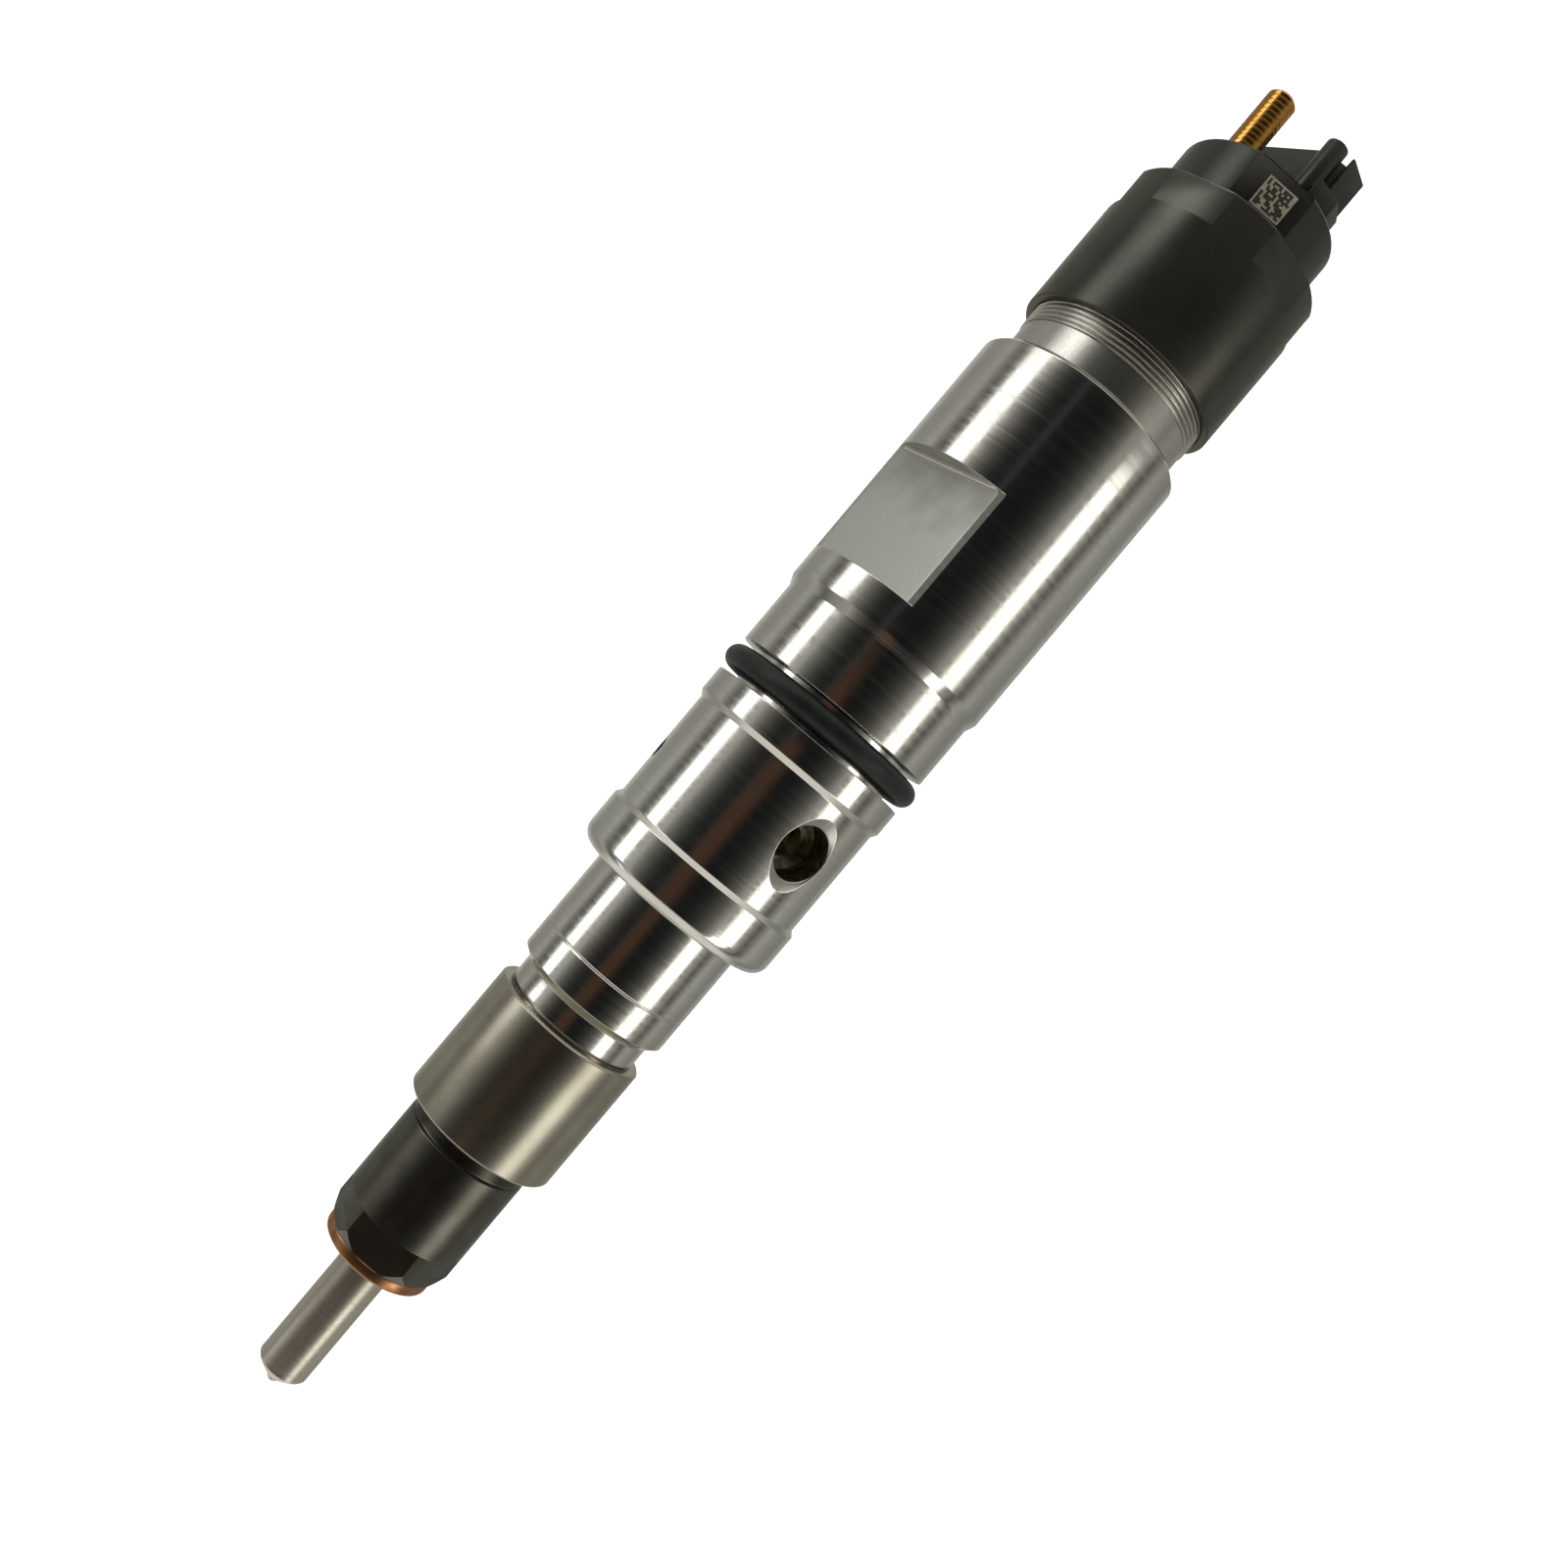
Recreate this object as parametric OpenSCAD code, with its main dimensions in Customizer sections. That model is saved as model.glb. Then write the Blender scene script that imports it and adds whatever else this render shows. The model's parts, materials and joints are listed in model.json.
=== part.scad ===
// Common-rail diesel fuel injector, in millimetres.
// The origin is on the axis, in the lower face of the copper sealing washer.
// +Z runs up to the terminals.
// An azimuth is measured about Z, from -Y towards +X.

/* [Nozzle] */
// Diameter of the nozzle shank
shank_d = 7.0; // [6.8:0.1:7.0]
// Distance from the washer face down to the spray tip
tip_depth = 20.85; // [20.4:0.05:21.5]
// Diameter of the nozzle head inside the retaining nut
nozzle_head_d = 13.8; // [13.4:0.1:13.8]
// Diameter of the needle guide
needle_d = 3.94; // [3.8:0.02:3.94]
// Number of spray holes
spray_holes = 8; // [5:1:10]
// Angle between a spray hole and the axis
spray_angle = 73; // [65:1:78]

/* [Sealing washer] */
// Outer diameter of the copper washer
washer_d = 15.3; // [13:0.1:16]
// Thickness of the copper washer
washer_t = 1.5; // [1.0:0.1:2.0]

/* [Nozzle retaining nut] */
// Diameter of the lower part
nut_lower_d = 17.32; // [17.2:0.02:17.4]
// Distance across the hexagon flats
nut_hex_af = 15.0; // [14.8:0.1:15.2]
// Height of the top of the hexagon
nut_hex_top = 6.3; // [5:0.1:9]
// Diameter of the upper part
nut_upper_d = 21.44; // [21:0.02:22]
// Height of the step from the lower to the upper part
nut_step_z = 20.25; // [19.8:0.05:20.8]
// Height of the top rim
nut_top_z = 38.0; // [37:0.1:38]

/* [Injector body] */
// Diameter of the lower barrel
barrel_d = 21.5; // [20.5:0.1:22]
// Diameter of the lower guide collar
collar_d = 28.74; // [28.6:0.02:28.9]
// Diameter between the collars, at the fuel inlet
waist_d = 27.6; // [27.2:0.1:27.8]
// Diameter of the main body
main_d = 29.8; // [29.6:0.1:30.4]
// Diameter of the smooth neck under the solenoid nut
neck_d = 25.6; // [25.4:0.1:25.7]
// Crest diameter of the thread for the solenoid nut
neck_thread_d = 26.0; // [25.96:0.01:26.02]
// Section diameter of the rubber ring on the body
o_ring_section = 3.2; // [2.8:0.1:3.4]
// Outer diameter of the rubber ring on the body
o_ring_d = 30.06; // [29.6:0.02:30.4]

/* [Ports and clamp flats] */
// Azimuth of the fuel inlet
inlet_azimuth = 38; // [30:1:45]
// Height of the fuel inlet
inlet_z = 72.8; // [71:0.1:74]
// Diameter of the fuel inlet bore
inlet_d = 7.3; // [6.5:0.1:7.6]
// Diameter of the countersink around the fuel inlet
inlet_rim_d = 10.4; // [9:0.1:10.8]
// Distance from the axis to the mouth of the fuel inlet bore
inlet_mouth_reach = 13.3; // [12.9:0.05:13.35]
// Azimuth of the leak-off hole
leak_azimuth = -79; // [-90:1:-70]
// Height of the leak-off hole
leak_z = 71.4; // [69:0.1:74]
// Diameter of the leak-off hole
leak_d = 3.0; // [2:0.1:3.4]
// Azimuth of the first clamp flat
flat_azimuth = -45; // [-50:1:-40]
// Distance from the axis to a clamp flat
flat_reach = 11.3; // [11:0.1:12]
// Height of the lower edge of a clamp flat
flat_bottom_z = 102.8; // [101:0.1:104]
// Height of the upper edge of a clamp flat
flat_top_z = 119.5; // [118:0.1:120]

/* [Solenoid nut] */
// Diameter of the solenoid nut
solenoid_nut_d = 28.34; // [28.2:0.02:28.6]
// Distance across the six flats of the solenoid nut
solenoid_nut_af = 27.0; // [26.6:0.1:27.4]
// Height of the lower end of the six flats
solenoid_flats_z = 158.7; // [157:0.1:160]
// Azimuth of one of the six flats
solenoid_flats_azimuth = 32; // [28:1:36]

/* [Terminal cover] */
// Diameter of the plastic cover above the solenoid nut
cover_d = 22.7; // [22.5:0.05:22.75]
// Height of the deck that carries the terminals
deck_z = 170.9; // [170:0.1:171.4]
// Height of the top of the fence between the terminals
fence_z = 180.5; // [178:0.1:181]
// Azimuth of the flat pad for the label
pad_azimuth = 3; // [0:1:6]
// Distance from the axis to the label pad
pad_reach = 10.5; // [10.4:0.1:10.9]

/* [Terminals] */
// Diameter of the threaded terminal studs
stud_d = 4.0; // [3:0.5:4]
// Diameter of the circle through the studs
stud_circle_d = 15.46; // [15.2:0.02:15.7]
// Height of the stud tops
stud_top_z = 180.8; // [180:0.1:183]
// Azimuth of the first stud
stud_azimuth = -49.7; // [-52:0.1:-48]

/* [Needle and valve motion] */
// Radial clearance of every sliding guide
guide_gap = 0.03; // [0.02:0.005:0.05]
// Gap left under each moving piece that rests on a seat
seat_gap = 0.02; // [0.01:0.005:0.03]
// Diameter of the control plunger
plunger_d = 4.2; // [4.1:0.02:4.2]
// Radius of the valve ball
ball_r = 0.67; // [0.6:0.01:0.7]
// Diameter of the armature bolt
bolt_d = 3.0; // [2.9:0.02:3.0]

/* [Hidden] */

$fn = 96;
eps = 0.01;

// Nozzle
shank_r = shank_d / 2;
shank_relief_r = shank_r - 0.2;
shank_relief_z = -0.3;
nozzle_step_z = 2.0;
nozzle_step_r = 4.6;
nozzle_head_r = nozzle_head_d / 2;
nozzle_head_z = 6.5;
body_foot_z = 20.0;
sac_r = 0.45;
nose_r = 0.95;
nose_z = nose_r - tip_depth;
nose_rim_r = 1.35;
tip_cone_z = nose_z + 1.5;
tip_cone_r = shank_r - 0.2;
shank_end_z = tip_cone_z + 0.3;
seat_z = nose_z + 0.7;
seat_angle = 30;
stem_bore_r = 1.7;
seat_top_z = seat_z + (stem_bore_r - sac_r) / tan(seat_angle);
gallery_r = 2.9;
gallery_z = 6.8;
gallery_top_z = 9.0;
needle_r = needle_d / 2;
needle_stem_r = 1.3;
needle_top_z = 21.0;
feed_r = 0.8;
spray_r = 0.1;

// High-pressure drilling beside the central bore
rail_reach = 5.2;
rail_r = 0.9;
rail_top_z = 118.0;

// Dowel pins between nozzle and body
dowel_r = 0.75;
dowel_reach = 5.0;
dowel_depth = 2.5;
dowel_spread = 120;

// Nozzle retaining nut
nut_lower_r = nut_lower_d / 2;
nut_upper_r = nut_upper_d / 2;
nut_foot_z = washer_t;
nut_foot_r = 7.8;
nut_chamfer_z = 3.1;
nut_mouth_r = nozzle_step_r + 0.2;
nut_head_bore_r = nozzle_head_r + 0.1;
nut_thread_z = 21.2;
nut_thread_r = 9.05;
nut_groove_z = 18.1;
nut_groove_r = 8.3;
edge_break = 0.3;

// Needle spring chamber
spring_chamber_r = 3.2;
spring_chamber_top_z = 36.0;
spring_seat_r = 2.9;
spring_seat_t = 2.0;
pressure_pin_r = 1.0;
pressure_pin_top_z = 37.0;
shim_t = 0.8;

// Injector body, from the foot up
pilot_top_z = 21.4;
foot_thread_r = nut_thread_r - 0.1;
foot_thread_top_z = nut_top_z + 0.3;
lower_neck_r = 9.4;
barrel_r = barrel_d / 2;
barrel_z = 42.4;
barrel_chamfer = 1.1;
scribe_z = 46.7;
scribe_w = 0.4;
scribe_depth = 0.15;
collar_r = collar_d / 2;
collar_z = 57.0;
collar_round = 2.0;
collar_top_z = 63.7;
waist_r = waist_d / 2;
waist_z = 64.4;
waist_top_z = 79.6;
ring_land_z = 80.4;
ring_land_r = 14.33;
groove_z = 83.9;
groove_top_z = 88.6;
groove_r = o_ring_d / 2 - o_ring_section;
upper_land_r = 14.3;
upper_land_top_z = 97.3;
main_r = main_d / 2;
main_z = 98.7;
main_top_z = 136.4;
main_chamfer = 0.6;
neck_r = neck_d / 2;
thread_z = 140.8;
thread_r = neck_thread_d / 2;
thread_root_r = thread_r - 0.45;
solenoid_nut_z = 143.5;
body_top_z = 150.0;

// Bores of the injector body
centre_bore_r = 2.6;
stem_bore_z = 103.5;
valve_stem_r = 4.0;
valve_stem_gap = 0.05;
pressure_gallery_r = 6.2;
pressure_gallery_z = 117.0;
pressure_gallery_top_z = 122.5;
chamber_z = 124.0;
chamber_r = 10.0;
inlet_seat_reach = 9.5;
inlet_cone_reach = 7.2;
flat_fillet = 0.6;

// Valve piece and ball
seal_ring_t = 1.5;
valve_stem_z = stem_bore_z + seal_ring_t;
control_room_z = 121.0;
control_room_top_z = 122.6;
valve_flange_r = 9.2;
valve_flange_top_z = 128.0;
valve_nose_r = 5.0;
valve_nose_z = 132.0;
orifice_r = 0.12;
ball_seat_depth = 0.7;
ball_seat_r = 0.9;
ball_seat_angle = atan((ball_seat_r - orifice_r) / ball_seat_depth);
ball_seat_apex_z = valve_nose_z - ball_seat_r / tan(ball_seat_angle);
ball_z = ball_seat_apex_z + ball_r / sin(ball_seat_angle) + seat_gap;
clamp_nut_top_z = 134.0;
clamp_nut_bore_r = 5.4;
plunger_r = plunger_d / 2;
plunger_top_z = control_room_z;

// Armature group
retainer_r = 1.2;
retainer_z = ball_z + 0.25;
bolt_z = ball_z + ball_r + 1.1;
bolt_r = bolt_d / 2;
bolt_top_z = 151.6;
guide_disc_top_z = 137.0;
guide_sleeve_r = 3.0;
guide_sleeve_top_z = 146.5;
plate_r = 8.5;
plate_z = 148.4;
plate_top_z = 150.6;
clip_r = 1.85;
clip_t = 0.4;
clip_groove_r = 1.2;
lift_shim_t = 0.8;

// Magnet group
magnet_z = body_top_z + lift_shim_t;
magnet_top_z = 158.0;
core_r = 11.3;
core_bore_r = 2.0;
pole_r = 5.0;
slot_r = 8.5;
slot_top_z = 156.0;
magnet_sleeve_r = 12.2;
bobbin_wall = 0.6;
bobbin_gap = 0.02;
valve_spring_top_z = 157.0;
valve_shim_t = 0.6;
solenoid_ring_section = 1.2;
solenoid_ring_reach = 10.6;

// Solenoid nut
solenoid_nut_r = solenoid_nut_d / 2;
solenoid_nut_top_z = 163.4;
solenoid_thread_top_z = 150.2;
solenoid_bore_r = magnet_sleeve_r + 0.1;
solenoid_lip_z = 160.6;

// Terminal cover
cover_r = cover_d / 2;
cover_foot_z = magnet_top_z + solenoid_ring_section;
spigot_r = core_bore_r - 0.1;
wall_angle = 40.5;
wall_near = 0.5;
wall_far = 1.5;
wall_front = 5.0;
wall_back = 6.8;
guard_t = 1.8;
guard_step_z = 174.4;
label_w = 4.35;
label_h = 4.1;
label_t = 0.1;
label_z = 165.4;
label_shift = 0.5;

// Terminals
stud_r = stud_d / 2;
stud_reach = stud_circle_d / 2;
stud_collar_r = 2.7;
stud_collar_z = 163.8;
stud_collar_top_z = 166.0;
stud_root_r = stud_r - 0.35;
stud_thread_z = deck_z + 0.2;
stud_chamfer = 0.5;
pin_r = 0.6;
insulator_r = 1.2;

// Colours
STEEL = [0.72, 0.72, 0.70];
DARK_STEEL = [0.10, 0.10, 0.11];
SATIN_NUT = [0.30, 0.27, 0.24];
COPPER = [0.78, 0.42, 0.26];
BRASS = [0.80, 0.62, 0.32];
RUBBER = [0.05, 0.07, 0.06];
PLASTIC = [0.05, 0.05, 0.05];
LABEL = [0.86, 0.85, 0.80];

// Turns its children from azimuth zero to another azimuth.
module facing(azimuth) {
    rotate([0, 0, azimuth]) children();
}

// A solid cylinder on the axis between two heights.
module rod(r, z_low, z_high) {
    translate([0, 0, z_low]) cylinder(r = r, h = z_high - z_low);
}

// A cone on the axis between two heights.
module taper(r_low, r_high, z_low, z_high) {
    translate([0, 0, z_low]) cylinder(r1 = r_low, r2 = r_high, h = z_high - z_low);
}

// A ring with a square section between two heights.
module ring(r_in, r_out, z_low, z_high) {
    rotate_extrude() translate([r_in, z_low]) square([r_out - r_in, z_high - z_low]);
}

// A ring with a round section.
module round_ring(r_mid, section, z) {
    rotate_extrude() translate([r_mid, z]) circle(d = section);
}

// A straight hole across the axis, between two distances from it.
module radial_hole(azimuth, z, r, reach_in, reach_out) {
    facing(azimuth) translate([0, 0, z]) rotate([90, 0, 0]) rod(r, reach_in, reach_out);
}

// One point of a coil spring's wire: the centre line at turn t, with closed end turns.
function coil_height(t, turns, wire, rise) =
    t < 1 ? t * wire :
    t > turns - 1 ? rise - (turns - t) * wire :
    wire + (t - 1) * (rise - 2 * wire) / (turns - 2);

// A coil spring between two heights, wound from round wire.
module coil_spring(mid_r, wire, turns, z_low, z_high) {
    sides = 8;
    steps = turns * 12;
    rise = z_high - z_low - wire;
    rings = [for (i = [0:steps]) let (
        turn = i * turns / steps,
        z = z_low + wire / 2 + coil_height(turn, turns, wire * 1.02, rise)
    ) [for (k = [0:sides - 1]) let (
        a = 360 * k / sides,
        r = mid_r + wire / 2 * cos(a)
    ) [r * cos(360 * turn), r * sin(360 * turn), z + wire / 2 * sin(a)]]];
    walls = [for (i = [0:steps - 1]) for (k = [0:sides - 1]) let (
        n = (k + 1) % sides
    ) [i * sides + k, (i + 1) * sides + k, (i + 1) * sides + n, i * sides + n]];
    start = [for (k = [0:sides - 1]) k];
    finish = [for (k = [sides - 1:-1:0]) steps * sides + k];
    polyhedron(points = [for (ring = rings) for (p = ring) p], faces = concat(walls, [start, finish]));
}

// Places its children at both terminals.
module at_terminals() {
    for (half_turn = [0, 180]) facing(stud_azimuth + half_turn) translate([0, -stud_reach, 0]) children();
}

// Places its children at both dowels.
module at_dowels() {
    for (side = [-1, 1]) facing(inlet_azimuth + side * dowel_spread)
        translate([0, -dowel_reach, 0]) children();
}

module nozzle_body() {
    color(DARK_STEEL) difference() {
        rotate_extrude() polygon([
            [0, nose_z], [nose_rim_r, nose_z], [tip_cone_r, tip_cone_z], [shank_r, shank_end_z],
            [shank_r, shank_relief_z], [shank_relief_r, shank_relief_z], [shank_relief_r, nozzle_step_z],
            [nozzle_step_r, nozzle_step_z], [nozzle_step_r, nozzle_head_z],
            [nozzle_head_r, nozzle_head_z], [nozzle_head_r, body_foot_z], [0, body_foot_z]
        ]);
        nozzle_cavity();
        for (i = [0:spray_holes - 1]) spray_hole(i * 360 / spray_holes);
        at_dowels() rod(dowel_r + bobbin_gap, body_foot_z - dowel_depth - eps, body_foot_z + eps);
    }
    color(DARK_STEEL) nozzle_nose();
}

// The rounded nose around the sac below the tip cone.
module nozzle_nose() {
    difference() {
        intersection() {
            translate([0, 0, nose_z]) sphere(r = nose_r);
            rod(nose_r + 1, nose_z - nose_r - 1, nose_z);
        }
        translate([0, 0, nose_z]) sphere(r = sac_r);
        for (i = [0:spray_holes - 1]) spray_hole(i * 360 / spray_holes);
    }
}

// Bores inside the nozzle: sac, needle seat, fuel gallery, needle guide and slanted feed.
module nozzle_cavity() {
    rod(sac_r, nose_z - eps, seat_z + eps);
    taper(sac_r, stem_bore_r, seat_z, seat_top_z);
    rod(stem_bore_r, seat_top_z - eps, gallery_z + eps);
    rod(gallery_r, gallery_z, gallery_top_z);
    rod(needle_r + guide_gap, gallery_top_z - eps, body_foot_z + eps);
    feed_drop = body_foot_z - (gallery_z + gallery_top_z) / 2;
    feed_shift = rail_reach - gallery_r + feed_r;
    feed_tilt = atan(feed_shift / feed_drop);
    facing(inlet_azimuth) translate([0, -rail_reach, body_foot_z]) rotate([feed_tilt, 0, 0])
        rod(feed_r, -feed_drop / cos(feed_tilt), 1);
}

module spray_hole(azimuth) {
    facing(azimuth) translate([0, 0, nose_z - 0.1]) rotate([180 - spray_angle, 0, 0]) rod(spray_r, 0.2, 3);
}

module nozzle_needle() {
    lift = seat_gap;
    color(STEEL) rotate_extrude() polygon([
        [0, seat_z - 0.35], [sac_r * 0.5, seat_z - 0.35], [sac_r * 0.98, seat_z + lift],
        [needle_stem_r, seat_z + lift + (needle_stem_r - sac_r * 0.98) / tan(seat_angle)],
        [needle_stem_r, gallery_z + 0.6], [needle_r, gallery_top_z - 0.4],
        [needle_r, needle_top_z - edge_break], [needle_r - edge_break, needle_top_z], [0, needle_top_z]
    ]);
}

module nozzle_dowel_pins() {
    color(STEEL) at_dowels() rod(dowel_r, body_foot_z - dowel_depth, body_foot_z + dowel_depth);
}

module nozzle_retaining_nut() {
    cone_grow = 9;
    cone_slope = (nut_chamfer_z - nut_foot_z) / (nut_lower_r - nut_foot_r);
    color(SATIN_NUT) difference() {
        union() {
            intersection() {
                translate([0, 0, nut_foot_z])
                    cylinder(d = nut_hex_af / cos(30), h = nut_hex_top - nut_foot_z, $fn = 6);
                taper(nut_foot_r, nut_foot_r + cone_grow, nut_foot_z, nut_foot_z + cone_grow * cone_slope);
                rod(nut_lower_r, nut_foot_z, nut_hex_top);
            }
            rotate_extrude() polygon([
                [0, nut_hex_top], [nut_lower_r, nut_hex_top], [nut_lower_r, nut_groove_z - edge_break],
                [nut_groove_r, nut_groove_z], [nut_groove_r, nut_step_z],
                [nut_upper_r - edge_break, nut_step_z], [nut_upper_r, nut_step_z + edge_break],
                [nut_upper_r, nut_top_z - edge_break],
                [nut_upper_r - edge_break, nut_top_z], [0, nut_top_z]
            ]);
        }
        rod(nut_mouth_r, nut_foot_z - eps, nozzle_head_z + eps);
        rod(nut_head_bore_r, nozzle_head_z, nut_thread_z + eps);
        rod(nut_thread_r, nut_thread_z, nut_top_z + eps);
    }
}

module sealing_washer() {
    color(COPPER) ring(shank_r + 0.1, washer_d / 2, 0, washer_t);
}

module spring_seat() {
    color(STEEL) rod(spring_seat_r, needle_top_z, needle_top_z + spring_seat_t);
    color(STEEL) rod(pressure_pin_r, needle_top_z + spring_seat_t - eps, pressure_pin_top_z);
}

module nozzle_spring() {
    color(STEEL)
        coil_spring(2.3, 0.9, 7, needle_top_z + spring_seat_t, spring_chamber_top_z - shim_t);
}

module spring_shim() {
    color(STEEL) ring(pressure_pin_r + 0.3, spring_chamber_r - 0.1,
        spring_chamber_top_z - shim_t, spring_chamber_top_z);
}

// Half outline of the injector body.
module injector_outline() {
    union() {
        polygon([
            [0, body_foot_z], [nozzle_head_r - edge_break, body_foot_z],
            [nozzle_head_r, body_foot_z + edge_break], [nozzle_head_r, pilot_top_z],
            [foot_thread_r, pilot_top_z + 0.5], [foot_thread_r, foot_thread_top_z],
            [lower_neck_r, foot_thread_top_z], [lower_neck_r, barrel_z - barrel_chamfer],
            [barrel_r, barrel_z], [barrel_r, scribe_z - scribe_w / 2], [barrel_r - scribe_depth, scribe_z],
            [barrel_r, scribe_z + scribe_w / 2], [barrel_r, collar_z], [collar_r - collar_round, collar_z],
            [collar_r - collar_round, collar_z + collar_round], [collar_r, collar_z + collar_round],
            [collar_r, collar_top_z], [waist_r, waist_z], [waist_r, waist_top_z], [ring_land_r, ring_land_z],
            [ring_land_r, groove_z], [groove_r, groove_z], [groove_r, groove_top_z],
            [upper_land_r, groove_top_z], [upper_land_r, upper_land_top_z], [main_r, main_z],
            [main_r, main_top_z - main_chamfer], [main_r - main_chamfer, main_top_z], [neck_r, main_top_z],
            [neck_r, thread_z], [thread_root_r, thread_z], [thread_root_r, solenoid_nut_z],
            [thread_r, solenoid_nut_z], [thread_r, body_top_z], [0, body_top_z]
        ]);
        intersection() {
            translate([collar_r - collar_round, collar_z + collar_round]) circle(r = collar_round);
            translate([collar_r - collar_round - eps, collar_z])
                square([collar_round + eps, collar_round + eps]);
        }
    }
}

// Removes a clamp flat with a filleted upper end, facing azimuth zero.
module clamp_flat() {
    depth = main_r - flat_reach + 1;
    rotate([90, 0, 90]) linear_extrude(height = 2 * main_r, center = true) union() {
        translate([-flat_reach - depth, flat_bottom_z])
            square([depth, flat_top_z - flat_bottom_z - flat_fillet]);
        translate([-flat_reach - depth, flat_top_z - flat_fillet - eps])
            square([depth - flat_fillet, flat_fillet + eps]);
        intersection() {
            translate([-flat_reach - flat_fillet, flat_top_z - flat_fillet]) circle(r = flat_fillet);
            translate([-flat_reach - flat_fillet - eps, flat_top_z - flat_fillet - eps])
                square([flat_fillet + eps, flat_fillet + eps]);
        }
    }
}

// Bores inside the injector body along the axis.
module body_bores() {
    rod(spring_chamber_r, body_foot_z - eps, spring_chamber_top_z);
    rod(centre_bore_r, spring_chamber_top_z - eps, stem_bore_z + eps);
    rod(valve_stem_r + valve_stem_gap, stem_bore_z, chamber_z + eps);
    rod(pressure_gallery_r, pressure_gallery_z, pressure_gallery_top_z);
    rod(chamber_r, chamber_z, body_top_z + eps);
}

// Fuel inlet with its countersink, conical seat and the drilling it feeds.
module fuel_inlet() {
    inlet_r = inlet_d / 2;
    rim_r = inlet_rim_d / 2;
    rim_slope = (rim_r - inlet_r) / (waist_r - inlet_mouth_reach);
    radial_hole(inlet_azimuth, inlet_z, inlet_r, inlet_seat_reach - eps, main_r);
    facing(inlet_azimuth) translate([0, 0, inlet_z]) rotate([90, 0, 0]) {
        taper(rail_r, inlet_r, inlet_cone_reach, inlet_seat_reach);
        taper(inlet_r, rim_r + rim_slope, inlet_mouth_reach, waist_r + 1);
    }
    radial_hole(inlet_azimuth, inlet_z, rail_r, rail_reach, inlet_cone_reach + eps);
    facing(inlet_azimuth) translate([0, -rail_reach, 0]) rod(rail_r, body_foot_z - eps, rail_top_z);
}

module injector_body() {
    color(STEEL) difference() {
        rotate_extrude() injector_outline();
        body_bores();
        fuel_inlet();
        radial_hole(leak_azimuth, leak_z, leak_d / 2, 0, main_r);
        for (half_turn = [0, 180]) facing(flat_azimuth + half_turn) clamp_flat();
        at_dowels() rod(dowel_r + bobbin_gap, body_foot_z - eps, body_foot_z + dowel_depth + eps);
    }
}

module body_o_ring() {
    color(RUBBER) round_ring((o_ring_d - o_ring_section) / 2, o_ring_section, (groove_z + groove_top_z) / 2);
}

module control_plunger() {
    color(STEEL) rotate_extrude() polygon([
        [0, pressure_pin_top_z], [plunger_r - edge_break, pressure_pin_top_z],
        [plunger_r, pressure_pin_top_z + edge_break], [plunger_r, plunger_top_z - edge_break],
        [plunger_r - edge_break, plunger_top_z], [0, plunger_top_z]
    ]);
}

module valve_seal_ring() {
    color(COPPER) ring(centre_bore_r, valve_stem_r, stem_bore_z, valve_stem_z);
}

module valve_piece() {
    color(STEEL) difference() {
        rotate_extrude() polygon([
            [0, valve_stem_z], [valve_stem_r, valve_stem_z], [valve_stem_r, chamber_z],
            [valve_flange_r, chamber_z], [valve_flange_r, valve_flange_top_z],
            [valve_nose_r, valve_flange_top_z],
            [valve_nose_r, valve_nose_z], [0, valve_nose_z]
        ]);
        rod(plunger_r + guide_gap, valve_stem_z - eps, control_room_top_z);
        rod(orifice_r, control_room_top_z - eps, valve_nose_z);
        taper(orifice_r, ball_seat_r, valve_nose_z - ball_seat_depth, valve_nose_z + eps);
        radial_hole(inlet_azimuth, control_room_z + 0.8, orifice_r, 0, valve_stem_r + 1);
    }
}

module valve_clamp_nut() {
    hex_af = 2 * clamp_nut_bore_r + 2.4;
    color(DARK_STEEL) difference() {
        rod(chamber_r - valve_stem_gap, valve_flange_top_z, clamp_nut_top_z);
        rod(clamp_nut_bore_r, valve_flange_top_z - eps, clamp_nut_top_z + eps);
        translate([0, 0, clamp_nut_top_z - 3]) cylinder(d = hex_af / cos(30), h = 4, $fn = 6);
    }
}

module valve_ball() {
    color(STEEL) translate([0, 0, ball_z]) sphere(r = ball_r);
}

module ball_retainer() {
    color(STEEL) difference() {
        rod(retainer_r, retainer_z, bolt_z);
        translate([0, 0, ball_z]) sphere(r = ball_r + seat_gap);
    }
}

module armature_bolt() {
    groove_z_low = plate_top_z;
    color(STEEL) rotate_extrude() polygon([
        [0, bolt_z], [bolt_r, bolt_z], [bolt_r, groove_z_low], [clip_groove_r, groove_z_low],
        [clip_groove_r, groove_z_low + clip_t], [bolt_r, groove_z_low + clip_t],
        [bolt_r, bolt_top_z - edge_break], [bolt_r - edge_break, bolt_top_z], [0, bolt_top_z]
    ]);
}

module armature_guide() {
    vent_reach = 6.4;
    color(DARK_STEEL) difference() {
        union() {
            rod(chamber_r - valve_stem_gap, clamp_nut_top_z, guide_disc_top_z);
            rod(guide_sleeve_r, guide_disc_top_z - eps, guide_sleeve_top_z);
        }
        rod(bolt_r + guide_gap, clamp_nut_top_z - eps, guide_sleeve_top_z + eps);
        for (i = [0:3]) rotate([0, 0, 90 * i]) translate([vent_reach, 0, 0])
            rod(1.0, clamp_nut_top_z - eps, guide_disc_top_z + eps);
    }
}

module overtravel_spring() {
    color(STEEL) coil_spring(4.0, 0.8, 7, guide_disc_top_z, plate_z);
}

module armature_plate() {
    vent_reach = 5.6;
    color(DARK_STEEL) difference() {
        rod(plate_r, plate_z, plate_top_z);
        rod(bolt_r + guide_gap, plate_z - eps, plate_top_z + eps);
        for (i = [0:5]) rotate([0, 0, 60 * i]) translate([vent_reach, 0, 0])
            rod(0.8, plate_z - eps, plate_top_z + eps);
    }
}

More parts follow.
